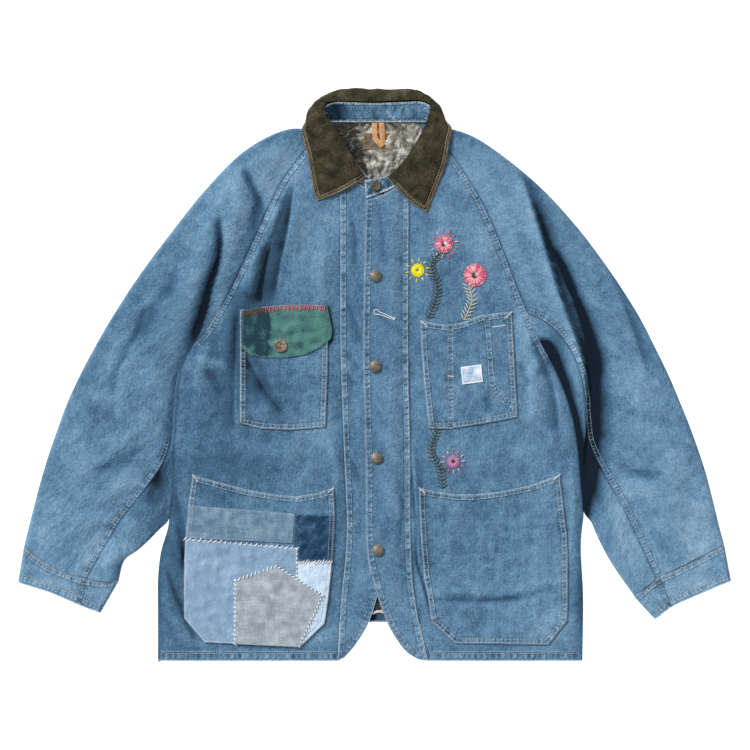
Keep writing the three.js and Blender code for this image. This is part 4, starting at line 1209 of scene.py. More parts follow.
class JACKET_OT_body(bpy.types.Operator):
    """Back, its lining, both fronts and both front bands"""

    bl_idname = "jacket.body"
    bl_label = "Body"

    def execute(self, context):
        self.back()
        self.binding()
        for side in SIDES:
            self.front(side)
            self.band(side)
        return {"FINISHED"}

    def hem(self, x, rise):
        """The back hem: an arch that is highest in the middle, as a parabola."""
        return HEM_Y + rise + BACK_HEM_RISE * (1 - (x / HEM_HALF) ** 2)

    def back(self):
        step = settings().grid
        rows = int(740 / (2 * step))
        for name, inset, rise, z, thick in (
            ("back", 0, 0, CLOTH, CLOTH),
            ("back_lining", 23, 12, LINING_TOP, 1.0),
        ):
            left, right = (SIDES[k]["body_line"] for k in ("right", "left"))
            left = evenly(left, rows) + [inset, 0]
            right = evenly(right, rows) - [inset, 0]
            for edge, way in ((left, -1), (right, 1)):
                under_arm = smooth((70 - edge[:, 1]) / 20) * smooth((edge[:, 1] + 215) / 20)
                edge[:, 0] += way * 1.0 * under_arm * (name == "back")
            plan = ruled(left, right, int(560 / (2 * step)))
            neck = 352 if name == "back" else 349
            u = np.linspace(0, 1, plan.shape[1])
            v = np.linspace(0, 1, rows)[:, None]
            top_row = plan[0, :, 1][None]
            reach = (neck - top_row) * (1 - v) ** 14 * np.sin(math.pi * np.clip(u, 0, 1)) ** 0.08
            low = self.hem(plan[-1, :, 0], rise)[None]
            y = plan[..., 1] + reach
            y = y + (low - y[-1:]) * v**3
            x = plan[..., 0]
            plan = np.stack([x, y], -1)
            height = np.full(y.shape, z)
            if name == "back_lining":
                neckwards = smooth((y - 235) / 30) * smooth((346 - y) / 8)
                crush = np.abs(ripples(x, y, 34, 5)) + 0.4 * np.abs(ripples(x, y, 15, 6))
                height = height + neckwards * 1.5 * crush
            outer = lift(plan, height)
            marks = marks_for(outer, [])
            if name == "back":
                # Painted shade of the back's gathered hem, seen in the slit: darker, in stripes.
                hem_pleat_shade = 0.3 * ripples(x, 0 * y, 9, 15)
                marks["fade"] = (hem_pleat_shade - 0.55) * bell(x, 60) * smooth((-300 - y) / 20)
                cloth(name, outer, thick, plan, marks, "denim")
            else:
                flat_under = outer.copy()
                flat_under[..., 2] = np.maximum(outer[..., 2] - thick, z - thick)
                # Painted shade: darker towards the hem and on the wearer's right in the collar's shadow, with
                # a painted pool of light on the wearer's left; the facing is drawn as a dark line.
                shaded = smooth((4 - x) / 44) * smooth((y - 285) / 25)
                collar_shadow = smooth((-26 + 0.27 * (347 - y) - x) / 10)
                facing = nearest([(-31, 310), (-12, 276)], x, y)[0]
                lit = oval(x, y, 32, 291, 14, 14)
                marks["fade"] = (-0.55 * smooth((-300 - y) / 20) - 0.4 * shaded - 0.6 * collar_shadow + 0.25 * lit
                                 - 0.6 * bell(facing, 4))
                cloth(name, outer, thick, plan, marks, "lining")

    def binding(self):
        """The cream edge along the hem of the lining, seen between the fronts."""
        x = np.linspace(-60, 60, 61)
        low = self.hem(x, 11.0) + 1.6 * np.sin(x / 4.5)
        middle = np.stack([x, low], 1)
        plan = np.stack([middle + [0, d] for d in (0, 1.2, 2.6, 3.8)], 1)
        grid = lift(plan, LINING_TOP + np.array([0.1, 0.9, 0.9, 0.1])[None] + 0 * plan[..., 0])
        obj = wall("lining_binding", grid, grid - [0, 0, 0.5], plan, marks_for(grid, []))
        dress(obj, "cream")

    def front(self, side):
        step = settings().grid
        s = SIDES[side]
        line = evenly(s["body_line"], int(840 / step))
        top, band_top = line[0, 1], s["band"][0][1]
        share = (top - line[:, 1]) / (top - HEM_Y)
        band_y = band_top + (HEM_Y - band_top) * share
        order = s["band_line"][::-1]
        band_x = np.interp(band_y, order[:, 1], order[:, 0])
        sign = s["sign"]
        start = np.stack([band_x + sign * GAP, band_y], 1)
        plan = ruled(start, line, int(300 / step))
        x, y = plan[..., 0], plan[..., 1]
        arm = np.vstack([s["raglan_line"], s["armpit_line"][1:]])
        seams = [(offset(arm, -sign * 3.9), 0.75), ([(-300, HEM_Y + 6.5), (300, HEM_Y + 6.5)], 0.42)]
        outer = lift(plan, front_top(side, x, y))
        d = nearest(arm, x, y)[0]
        outer[..., 2] += 0.7 * (1 - smooth((d - FELL) / 1.5))
        outer[..., 2] += 0.5 * (1 - smooth((y - HEM_Y - 11) / 1.5))
        # Painted shade: a soft dark band beside the side seam, a thin dark line beside the band's edge and a
        # shadow beside the flap's edge nearer the middle, added to the creases' painted shade.
        beside = nearest(s["side_line"], x, y)[0]
        deep, reach = (-0.4, 1.6) if side == "left" else (-0.2, 1.5)
        gap = deep * bell(beside, reach) * smooth((60 - y) / 30) * smooth((y + 205) / 30)
        beside = nearest(s["band_line"][::4], x, y)[0]
        fade = gap - 0.08 + front_crease_shade(side, x, y) - 0.3 * bell(beside, 1.3)
        flap = nearest([(-64.6, 91.4), (-59.1, 61.2), (-59.8, 47.4), (-68.1, 36.4)], x, y)[0]
        fade = fade - 0.8 * bell(flap, 2.6) * (side == "right")
        marks = marks_for(outer, seams, fade)
        marks["edge"] = y - HEM_Y
        cloth(f"front_{side}", outer, CLOTH, plan, marks, "denim")

    def band(self, side):
        step = settings().grid
        s = SIDES[side]
        rows = int(690 / step)
        v = np.linspace(0, 1, rows)
        y0 = s["band"][0][1] + (HEM_Y - s["band"][0][1]) * v
        y1 = s["edge"][0][1] + (s["edge"][-1][1] - s["edge"][0][1]) * v
        band, edge = s["band_line"][::-1], s["edge_line"][::-1]
        start = np.stack([np.interp(y0, band[:, 1], band[:, 0]), y0], 1)
        end = np.stack([np.interp(y1, edge[:, 1], edge[:, 0]), y1], 1)
        plan = ruled(start, end, int(66 / step) + 2)
        u = np.linspace(0, 1, plan.shape[1])[None]
        bow = 6 if side == "left" else 0
        plan[..., 1] -= bow * 4 * u * (1 - u) * (1 - v[:, None]) ** 12
        x, y = plan[..., 0], plan[..., 1]
        z = band_low(side, x, y) + BAND
        outer = lift(plan, z)
        sign = s["sign"]
        beside = nearest(s["band_line"], x, y)[0]
        outer[..., 2] += 0.6 * (1 - smooth((beside - FELL) / 1.5))
        outer[..., 2] += 0.22 * ripples(x, y, 24, 31) * smooth(np.abs(x - 2) / 8 - 0.6)
        seams = [(s["band_line"] - [sign * 4.4, 0], 0.42), (offset(s["edge_line"], sign * 5.6), 0.5)]
        marks = marks_for(outer, seams, 0.12 * ledges(BAND_CREASE_SHADE[side], x, y))
        cloth(f"band_{side}", outer, BAND, plan, marks, "denim")


class JACKET_OT_sleeves(bpy.types.Operator):
    """Upper and under sleeves, and cuffs"""

    bl_idname = "jacket.sleeves"
    bl_label = "Sleeves"

    def execute(self, context):
        for side in SIDES:
            self.sleeve(side)
            self.cuff(side)
        return {"FINISHED"}

    def folded(self, name, side, start, end, bow, seams, along_run, shade=0.0):
        """From a seam over a fold and back: level on top, a quarter round at the fold, flat below."""
        step, s = settings().grid, SIDES[side]
        over = np.linspace(0, 1, int(130 / step))
        over = 1 - (1 - over) ** 1.25
        under = np.linspace(0.97, 0, int(130 / (4 * step)))
        width = np.linalg.norm(end - start, axis=1)[:, None]
        edge = 1 - np.minimum(FOLD_R, width * 0.45) / width
        mid = SLEEVE_Z / 2

        def face(inset):
            reach = 1 - inset / width
            grids = []
            for u, above in ((over, True), (under, False)):
                u = u[None]
                share = (u * reach)[..., None]
                plan = start[:, None] * (1 - share) + end[:, None] * share
                plan[..., 1] -= bow[:, None] * 4 * u * (1 - u)
                bend = np.sqrt(np.maximum(0, 1 - np.maximum(0, (u - edge) / (1 - edge)) ** 2))
                full = sleeve_top(side, plan[..., 0], plan[..., 1], np.broadcast_to(u, plan.shape[:2]))
                height = full - inset if above else np.full(plan.shape[:2], inset)
                grids.append(lift(plan, mid + (height - mid) * bend))
            return np.concatenate(grids, 1)

        outer, inner = face(0.0), face(CLOTH)
        across = np.concatenate([over, 2 - under])[None] * width
        uv = np.stack([across, np.broadcast_to(along_run[:, None], across.shape)], -1)
        x, y = outer[..., 0], outer[..., 1]
        # Painted shade: the creases darker in their valleys, a dark line along the seam, and on the wearer's
        # right a soft shade beside the seam where the front covers it.
        creases = 0.07 * folds(SLEEVE_FOLDS[side], x, y) + 0.115 * ledges(SLEEVE_LEDGES[side], x, y)
        outward = np.concatenate([(1 - over)[None] * width, 0 * under[None] * width], 1)
        line = s["raglan_line"] if name.endswith("top") else s["seam_line"]
        shown = smooth((-80 - y) / 8) if side == "right" and not name.endswith("top") else 1.0
        by_line = nearest(line[::3], x, y)[0]
        fade = box_blur(np.clip(creases, -1.1, 0.07), 1) - 0.4 * shown * bell(by_line, 1.6)
        near_seam = nearest(seams[0], x, y)[0]
        hidden = smooth((y + 98) / 10) * smooth((72 - y) / 10) * (side == "right")
        fade = fade - 0.16 * hidden * bell(near_seam, 2.2)
        # Painted shade beside the body under the arm, deepest on the under sleeves with the armpit ovals, and
        # along the top sleeve's outer fold.
        beside_body = nearest(s["body_line"][::4], x, y)[0]
        touching = smooth((54 - y) / 10) * smooth((y + 215) / 30)
        if name.endswith("under"):
            deep, gap = (1.05, 10.0 + 4.0 * smooth((y + 40) / 30)) if side == "left" else (0.2, 3.0)
            fade = fade + ovals(ARMPITS[side], x, y) - deep * np.exp(-((beside_body / gap) ** 4)) * touching
        else:
            fade = fade - 0.16 * bell(outward, 12) - 0.16 * bell(beside_body, 6) * touching
        rope = offset(seams[0], seams[1])
        if side == "right":
            rope = rope[rope[:, 1] < SEAM_SHOWS]
        marks = marks_for(outer, [(rope, 0.75)], fade + shade)
        below = np.arange(outer.shape[1]) >= len(over)
        marks["seam"] = np.where(below[None], FAR, marks["seam"])
        marks["edge"] = np.full(x.shape, FAR)
        ridge = 0.5 * (1 - hidden) * (1 - smooth((near_seam - FELL) / 1.5))
        outer[..., 2] += np.where(below[None], 0, ridge)
        return cloth(name, outer, CLOTH, uv, marks, "denim", inner)

    def sleeve(self, side):
        s = SIDES[side]
        step = settings().grid
        last = len(s["seam"]) - 1
        k = np.linspace(0, last, int(460 / step))
        seam, outer = cubic(s["seam"], k), cubic(s["outer"], k)
        raglan = curve(s["raglan"], int(300 / step))[:-1]
        shoulder = curve(s["shoulder"], int(300 / step))[:-1]
        start = np.vstack([raglan, seam])
        end = np.vstack([shoulder, outer])
        toward = (end - start) / np.linalg.norm(end - start, axis=1, keepdims=True)
        bow = np.concatenate([np.zeros(len(raglan)), s["bow"] * smooth((k / last - 0.7) / 0.3)])
        run = lengths(end)
        sign = s["sign"]
        seams = (s["seam_line"], sign * 4.0)
        self.folded(f"sleeve_{side}_top", side, start + toward * TOUCH, end, bow, seams, run)
        k = np.linspace(0.06, last, int(460 / step))
        armpit = cubic(s["inner"][:3], np.minimum(k, 2))
        below = cubic(s["inner"][2:], np.maximum(k - 2, 0))
        inner = np.where((k <= 2)[:, None], armpit, below)
        seam = cubic(s["seam"], k)
        order = s["body_line"][::-1]
        touching = smooth((inner[:, 1] + (205 if side == "left" else 213)) / 22)
        body_x = np.interp(inner[:, 1], order[:, 1], order[:, 0])
        inner[:, 0] += (body_x - inner[:, 0]) * touching
        low = smooth((k / last - 0.85) / 0.15) * (side == "right")
        inner[:, 1] -= 1.8 * low
        toward = inner - seam
        toward /= np.linalg.norm(toward, axis=1, keepdims=True)
        self.folded(f"sleeve_{side}_under", side, seam + toward * TOUCH, inner - toward * GAP,
                    2.2 * low, (s["seam_line"], -sign * 60.0), lengths(seam), -0.02)

    def cuff(self, side):
        """A flat ring: over the top, round one fold, back under and round the other."""
        s = SIDES[side]
        step = settings().grid
        cols = int(150 / step)
        seam, end = evenly(curve(s["cuff_seam"], 200), cols), evenly(curve(s["cuff_end"], 200), cols)
        v = np.linspace(0, 1, int(52 / step))[:, None, None]
        down = (end - seam) / np.linalg.norm(end - seam, axis=1, keepdims=True)
        plan = (seam - down * 1.2)[None] * (1 - v) + end[None] * v
        width = np.linalg.norm(plan[:, -1] - plan[:, 0], axis=1)[:, None]
        t = np.linspace(0, 1, cols)[None]
        near = np.minimum(t, 1 - t) * width / FOLD_R
        bend = np.sqrt(np.maximum(0, 1 - np.maximum(0, 1 - near) ** 2))

        def ring(inset):
            middle = plan[:, [0]] * 0.5 + plan[:, [-1]] * 0.5
            place = middle + (plan - middle) * (1 - 2 * inset / width)[..., None]
            uneven = 0.3 * ripples(place[..., 0], place[..., 1], 26, 41)
            top = CUFF_Z + uneven - inset
            above = lift(place, CUFF_Z / 2 + (top - CUFF_Z / 2) * bend)
            below = lift(place, CUFF_Z / 2 + (inset - CUFF_Z / 2) * bend)
            return np.concatenate([above, below[:, -2:0:-1]], 1)

        outer, inner = ring(0.0), ring(CLOTH + GAP)
        run = np.concatenate([t, 1 + t[:, 1:-1]], 1) * 140
        depth = np.broadcast_to(v[..., 0] * 50, (len(v), run.shape[1]))
        uv = np.stack([depth, np.broadcast_to(run, depth.shape)], -1)
        cross = {"right": [(-399, -279), (-407, -316)], "left": [(388, -279), (404, -318)]}[side]
        # Painted shade: a thin dark line beside the cuff's cross seam.
        beside = nearest(np.array(cross) + [3.6, 0], outer[..., 0], outer[..., 1])[0]
        seams = [(seam + down * 4.2, 0.75), (end - down * 6.5, 0.6), (cross, 0.75)]
        marks = marks_for(outer, seams, -0.3 * bell(beside, 1.2))
        cloth(f"cuff_{side}", outer, CLOTH, uv, marks, "denim", inner, True)


class JACKET_OT_collar(bpy.types.Operator):
    """Stand, fall, bare neck label and hanger loop"""

    bl_idname = "jacket.collar"
    bl_label = "Collar"

    def execute(self, context):
        self.stand()
        self.fall()
        self.label()
        self.loop()
        return {"FINISHED"}

    def stand(self):
        step = settings().grid * 0.7
        rows = int(620 / step)
        low, high = (curve([p[k] for p in STAND_STATIONS], rows) for k in (0, 1))
        outer = ruled(low, high, STAND_COLS)
        outer[..., 2] += STAND
        u = np.linspace(0, 1, STAND_COLS)[None] * 25
        run = lengths(high)
        uv = np.stack(np.broadcast_arrays(run[:, None], u), -1)
        inner_rows = slice(1, -1)
        run, rise = uv[inner_rows, 2:-2, 0], uv[inner_rows, 2:-2, 1]
        outer[inner_rows, 2:-2, 2] += 0.6 * ripples(run, 0.35 * rise, 14, 51)
        # Painted light and shade of diagonal creases, and a painted shadow over the stand's end on the
        # wearer's right, under the collar.
        slant_crease_shading = ripples(uv[..., 0] + 0.9 * uv[..., 1], 0.3 * uv[..., 1], 15, 53)
        shadowed_end = smooth((-32 - outer[..., 0]) / 20) * smooth((outer[..., 1] - 318) / 12)
        seams = [(low[:, :2], 0.7), (high[:, :2], 0.7)]
        marks = marks_for(outer, seams, 0.09 * slant_crease_shading + 0.04 - 0.9 * shadowed_end)
        cloth("collar_stand", outer, STAND, uv, marks, "denim_stand")

    def fall(self):
        """Each section is a cubic from the inner line to the free edge, with both of its handles
        above the same place, so that its middle falls where the station says."""
        rows = int(720 / (settings().grid * 0.62))
        keys = []
        for a, c, d, before, after in FALL_STATIONS:
            k = [(8 * c[i] - a[i] - d[i]) / 6 for i in (0, 1)]
            keys.append((a, (*k, before), (*k, after), d))
        lines = [curve([key[n] for key in keys], rows)[:, None] for n in range(4)]
        t = np.linspace(0, 1, FALL_COLS)[None, :, None]
        weights = ((1 - t) ** 3, 3 * t * (1 - t) ** 2, 3 * t**2 * (1 - t), t**3)
        outer = sum(w * line for w, line in zip(weights, lines))
        along = np.gradient(outer, axis=0)
        across = np.gradient(outer, axis=1)
        normal = np.cross(along, across)
        normal /= np.linalg.norm(normal, axis=2, keepdims=True) + 1e-9
        normal *= np.sign(normal[..., 2].mean())
        wide = np.linalg.norm(np.diff(outer, axis=1), axis=2)
        u = np.pad(np.cumsum(wide, 1), ((0, 0), (1, 0)))
        run = lengths(lines[1][:, 0])
        uv = np.stack(np.broadcast_arrays(run[:, None], u), -1)
        inner = outer - normal * FALL
        marks = marks_for(outer, [])
        rim = np.minimum.reduce([u[:, -1:] - u, run[:, None] + 0 * u, run[-1] - run[:, None] + 0 * u])
        marks["edge"] = rim
        marks["fade"] = 0.07 * ripples(uv[..., 0], uv[..., 1], 22, 63)
        puff = 0.45 * smooth(rim / 1.5) - 0.55 * bell(rim - 3.2, 0.9) - 0.55 * bell(rim - 6.4, 0.9)
        nearly = smooth((u - 6) / 4)
        uneven = 0.7 * ripples(uv[..., 0], uv[..., 1], 34, 61)
        uneven = uneven + 0.35 * ripples(uv[..., 0], uv[..., 1], 14, 62)
        outer = outer + normal * (puff * nearly + uneven * smooth(rim / 8))[..., None]
        cloth("collar", outer, FALL, uv, marks, "corduroy",
              inner)

    def label(self):
        plan = coons([(-16, 333), (23, 333)], [(-16, 311), (23, 311)],
                     [(-16, 333), (-16, 311)], [(23, 333), (23, 311)], 14, 24)
        z = LINING_TOP + GAP + PATCH + 0.4 * np.abs(ripples(plan[..., 0], plan[..., 1], 18, 71))
        outer = lift(plan, z)
        cloth("neck_label", outer, PATCH, plan, marks_for(outer, []), "label")

    def loop(self):
        """Two strands of tape side by side, turned at an angle at the bottom."""
        top = LINING_TOP + 2 * GAP + PATCH + CLOTH
        for name, z, left, right in (
            ("hanger_loop", top, [(-3.5, 347), (-3.2, 336), (-2.4, 325), (2.5, 318), (8.5, 312.5)],
             [(3.6, 347), (4, 336), (4.6, 327), (9, 322), (14.5, 317.5)]),
            ("hanger_loop_back", top - 0.6, [(5.6, 347), (6.6, 338), (7.4, 329), (8.2, 322)],
             [(13.6, 347), (14.2, 338), (14.6, 328), (14.8, 319)]),
        ):
            plan = ruled(curve(left, 20), curve(right, 20), 7)
            u = np.linspace(-1, 1, 7)[None]
            grid = lift(plan, z - 0.5 * u**2 + 0 * plan[..., 0])
            dress(wall(name, grid, grid - [0, 0, 1.4], plan, {}), "leather", "hanger_loop")


class JACKET_OT_pockets(bpy.types.Operator):
    """Pockets, the flap, patches and the bare tag"""

    bl_idname = "jacket.pockets"
    bl_label = "Pockets and patches"

    def execute(self, context):
        looks = {
            "flap_chest_right": ("teal", "flap"), "woven_tag": ("tape", "tag"),
            "patch_grey_blue": ("grey", "patch_grey"), "patch_indigo": ("indigo", "patch_indigo"),
            "patch_light_blue": ("light", "patch_light"), "patch_pale": ("pale", "patch_pale"),
            "patch_pentagon": ("stone", "patch_grey"),
        }
        for name, spec in {**POCKETS, **PATCHES}.items():
            self.piece(name, spec, *looks.get(name, ("denim", "denim")))
        return {"FINISHED"}

    def piece(self, name, spec, paint, slot):
        step = settings().grid * (0.75 if name in POCKETS else 0.6)
        rows, cols = (int(lengths(spec[k])[-1] / step) + 4 for k in ("left", "bottom"))
        plan = coons(spec["top"], spec["bottom"], spec["left"], spec["right"], rows, cols)
        x, y = plan[..., 0], plan[..., 1]
        z = front_top(spec["side"], x, y) + spec["lift"] + spec["thick"]
        z = z + pocket_puff(name if name in POCKETS else spec["on"], x, y)
        outer = lift(plan, z)
        rim = edge_field(outer)
        # the flap covers the top edge of the wearer's right chest pocket
        edges = ("left", "right", "bottom", "top")[: 3 if name == "pocket_chest_right" else 4]
        seams = [(evenly(spec[k], 40), 0.62) for k in edges] if name in POCKETS else []
        ditches = DIVIDERS.get(name, [])
        marks = marks_for(outer, seams, front_crease_shade(spec["side"], x, y) - 0.05)
        if name in POCKETS:
            marks["seam"] = np.abs(marks["seam"] - 4.4)
            for one, two in zip(ditches[::2], ditches[1::2]):
                d, run = nearest((one + two) / 2, x, y)
                marks["run"] = np.where(d < marks["seam"], 0.62 * run, marks["run"])
                marks["seam"] = np.minimum(marks["seam"], d)
            if name == "pocket_lower_left":
                # painted shade: a dark crease line along the edge of the pocket's bag
                bag = [(81.8, -307.3), (120.3, -310.1), (154.7, -310.1), (193.2, -305.2)]
                inside = nearest(bag, x, y)[0]
                marks["fade"] -= 0.32 * bell(inside, 1.1)
            outer[..., 2] += 0.4 * smooth(rim / 1.5) - 0.5 * smooth(rim / 8 - 0.6)
        else:
            outer[..., 2] += 0.25 * smooth(rim / 1.5) + 0.3 * ripples(x, y, 16, 91) * smooth(rim / 6)
            marks["relief"] = np.clip(outer[..., 2] - box_blur(outer[..., 2], 5), -3, 3)
            if name == "flap_chest_right":
                stain = smooth((-142 - x + 3 * ripples(x, y, 18, 92)) / 5)
                stain = stain * smooth((y - 24 + 0.5 * (x + 160)) / 10)
                # Painted shade in the pleats near the flap's lower edge.
                flap_pleat_shade = np.abs(ripples(x, 0.25 * y, 7, 93)) * smooth((44 - y) / 18)
                marks["fade"] = -(0.56 + 0.12 * ripples(x, 0.5 * y, 16, 94)) * stain - 0.1 * flap_pleat_shade
            elif name == "patch_indigo":
                marks["fade"] = 0.16 * ripples(x - 0.8 * y, 0.35 * (x + y), 13, 95)
            else:
                marks["fade"] = 0.05 * ripples(x + 0.3 * y, 0.5 * y, 14, 96)
        under = lift(plan, z - spec["thick"])
        cloth(name, outer, spec["thick"], plan, marks, paint, under)


class JACKET_OT_buttons(bpy.types.Operator):
    """Dome buttons and a flat one on the band, and the two-hole button on the flap"""

    bl_idname = "jacket.buttons"
    bl_label = "Buttons"

    def execute(self, context):
        low = LAP_Z + BAND + GAP
        for i, (x, y) in enumerate(BUTTONS):
            dome = [(0, 0), (6.2, 0), (8.0, 0.9), (8.3, 1.7), (7.9, 2.3), (6.9, 2.7), (6.6, 3.1), (5.6, 3.9),
                    (3.6, 4.6), (1.6, 4.9), (0, 5.0)]
            self.turned(f"button_{i + 2}", (x, y, low), dome, "brass", "brass")
        flat = [(0, 0), (5.6, 0), (6.9, 0.8), (7.1, 1.5), (6.6, 2.1), (5.8, 2.3), (5.2, 2.0), (0, 2.1)]
        self.turned("button_1", (2, 260, LAP_Z + 0.7 + STAND), flat, "flat_brass", "brass")
        z = float(front_top("right", np.array([-129.0]), np.array([40.0]))[0]) + 2 * POCKET + 3 * GAP
        rim = [(0, 0.2), (7.6, 0.2), (9.0, 1.0), (9.2, 1.9), (8.7, 2.6), (7.6, 2.9), (6.4, 2.5), (5.4, 2.1),
               (0, 2.0)]
        self.turned("flap_button", (-129, 40, z + 0.6), rim, "horn", "shell_button")
        self.holes((-129, 40, z + 2.62))
        return {"FINISHED"}

    def turned(self, name, at, profile, paint, slot):
        """A profile of (radius, height) turned about its upright axis."""
        sides = 40
        r, h = np.asarray(profile, float)[1:-1].T
        a = np.linspace(0, 2 * math.pi, sides, endpoint=False)
        ring = np.stack([r[:, None] * np.cos(a), r[:, None] * np.sin(a), h[:, None] + 0 * a], -1)
        verts = np.vstack([ring.reshape(-1, 3), [[0, 0, profile[0][1]], [0, 0, profile[-1][1]]]]) + at
        n = len(r)
        i, j = np.meshgrid(np.arange(n - 1), np.arange(sides), indexing="ij")
        k = (j + 1) % sides
        quads = np.stack([i * sides + j, i * sides + k, (i + 1) * sides + k, (i + 1) * sides + j], -1)
        faces = quads.reshape(-1, 4).tolist()
        base, tip = n * sides, n * sides + 1
        faces += [(int(q), int((q + 1) % sides), base) for q in range(sides)]
        faces += [((n - 1) * sides + q, (n - 1) * sides + (q + 1) % sides, tip) for q in range(sides)]
        obj = plain(name, verts, faces, paint, 40)
        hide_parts(name)

    def holes(self, at):
        """Two dark discs sunk in the button's face: painted shade in place of its two holes."""
        verts, faces = [], []
        n = HOLE_SIDES
        for dx, dy in ((0.2, -2.0), (0.2, 2.0)):
            a = np.linspace(0, 2 * math.pi, n, endpoint=False)
            start = len(verts)
            for z in (0.0, 0.12):
                verts += [(at[0] + dx + 1.1 * math.cos(t), at[1] + dy + 1.1 * math.sin(t), at[2] + z)
                          for t in a]
            faces += [tuple(start + n + i for i in range(n)), tuple(start + i for i in range(n - 1, -1, -1))]
            faces += [(start + i, start + (i + 1) % n, start + n + (i + 1) % n, start + n + i)
                      for i in range(n)]
        plain("flap_button_holes", verts, faces, "dark_thread", 40)


class JACKET_OT_seams(bpy.types.Operator):
    """Machine stitches along every seam and hem"""

    bl_idname = "jacket.seams"
    bl_label = "Machine stitches"

    def execute(self, context):
        GROUND["all"] = Ground([name for name in MADE if name != "collar"])
        white, worn = "off_white", "worn_thread"
        for side, s in SIDES.items():
            sign = s["sign"]
            raglan = s["raglan_line"][30:]
            arm = np.vstack([raglan, s["armpit_line"][1:]])
            rows = [offset(arm, -sign * 1.4), offset(arm, -sign * 6.4)]
            stitch_rows(f"stitches_raglan_{side}", rows, worn, 0.34)
            seam = s["seam_line"]
            if side == "right":
                seam = seam[seam[:, 1] < SEAM_SHOWS]
            rows = [offset(seam, sign * 1.6), offset(seam, sign * 6.4)]
            stitch_rows(f"stitches_sleeve_{side}", rows, worn, 0.34)
            band = s["band_line"][4:-1]
            rows = [band - [sign * 1.4, 0], band - [sign * 7.4, 0]]
            stitch_rows(f"stitches_band_{side}", rows, worn, 0.3)
            cuff_seam, cuff_end = curve(s["cuff_seam"], 80), curve(s["cuff_end"], 80)
            down = (cuff_end - cuff_seam) / np.linalg.norm(cuff_end - cuff_seam, axis=1, keepdims=True)
            rows = [cuff_seam[3:-3] + down[3:-3] * d for d in (1.8, 6.6)]
            rows += [cuff_end[3:-3] - down[3:-3] * d for d in (9.5, 12.0)]
            stitch_rows(f"stitches_cuff_{side}", rows, white)
            edge_x = s["side_line"][-1, 0] * 0.99
            hem = np.array([(s["band"][-1][0] + sign * 2, HEM_Y + 10.5), (edge_x, HEM_Y + 10.5)])
            stitch_rows(f"stitches_hem_{side}", [evenly(hem, 60), evenly(hem + [0, 2.6], 60)], white)
        edge = SIDES["left"]["edge_line"]
        stitch_rows("stitches_front_edge", [offset(edge, 2.6)[:-3], offset(edge, 8.8)[:-4]], worn, 0.32)
        self.pockets(white)
        self.collar()
        return {"FINISHED"}

    def pockets(self, white):
        for name, spec in POCKETS.items():
            left, right = evenly(spec["left"], 60), evenly(spec["right"], 60)
            bottom = evenly(spec["bottom"], 90)
            around = evenly(np.vstack([left, bottom[1:-1], right[::-1]]), 260)
            if name == "pocket_chest_right":
                around = around[around[:, 1] < 42]
            rows = [offset(around, 2.0), offset(around, 6.8)]
            top = evenly(spec["top"], 70)
            if name != "pocket_chest_right":
                rows += [offset(top, -2.5)[1:-1], offset(top, -7.0)[2:-2]]
            rows += DIVIDERS.get(name, [])
            stitch_rows(f"stitches_{name}", rows, white)

    def collar(self):
        co = points_of(MADE["collar"].data)
        rows = len(co) // 2 // FALL_COLS
        top = co[: rows * FALL_COLS].reshape(rows, FALL_COLS, 3)
        wide = np.linalg.norm(np.diff(top, axis=1), axis=2)
        u = np.pad(np.cumsum(wide, 1), ((0, 0), (1, 0)))
        lines = []
        for inset in (3.2, 6.4):
            free = np.array([[np.interp(u[i, -1] - inset, u[i], top[i, :, k]) for k in range(3)]
                             for i in range(rows)])
            keep = np.flatnonzero(top[:, -1, 2] > 7.5)
            half = np.flatnonzero(np.diff(keep) > 1)[0] + 1
            for part in (keep[:half], keep[half:]):
                lines.append(free[part][1:-1])
            for end in (0, -1):
                run = np.cumsum(np.linalg.norm(np.diff(top[::1 if end == 0 else -1, 20], axis=0), axis=1))
                row = int(np.searchsorted(run, inset)) + 1
                lines.append(top[row if end == 0 else rows - 1 - row, 6:-3])
        starts, ends = stitch_ends(lines, 2.3)
        verts, faces = capsules(starts + [0, 0, 0.25], ends + [0, 0, 0.25], 0.45, 0.15)
        plain("stitches_collar", verts, faces, "tan", 80)


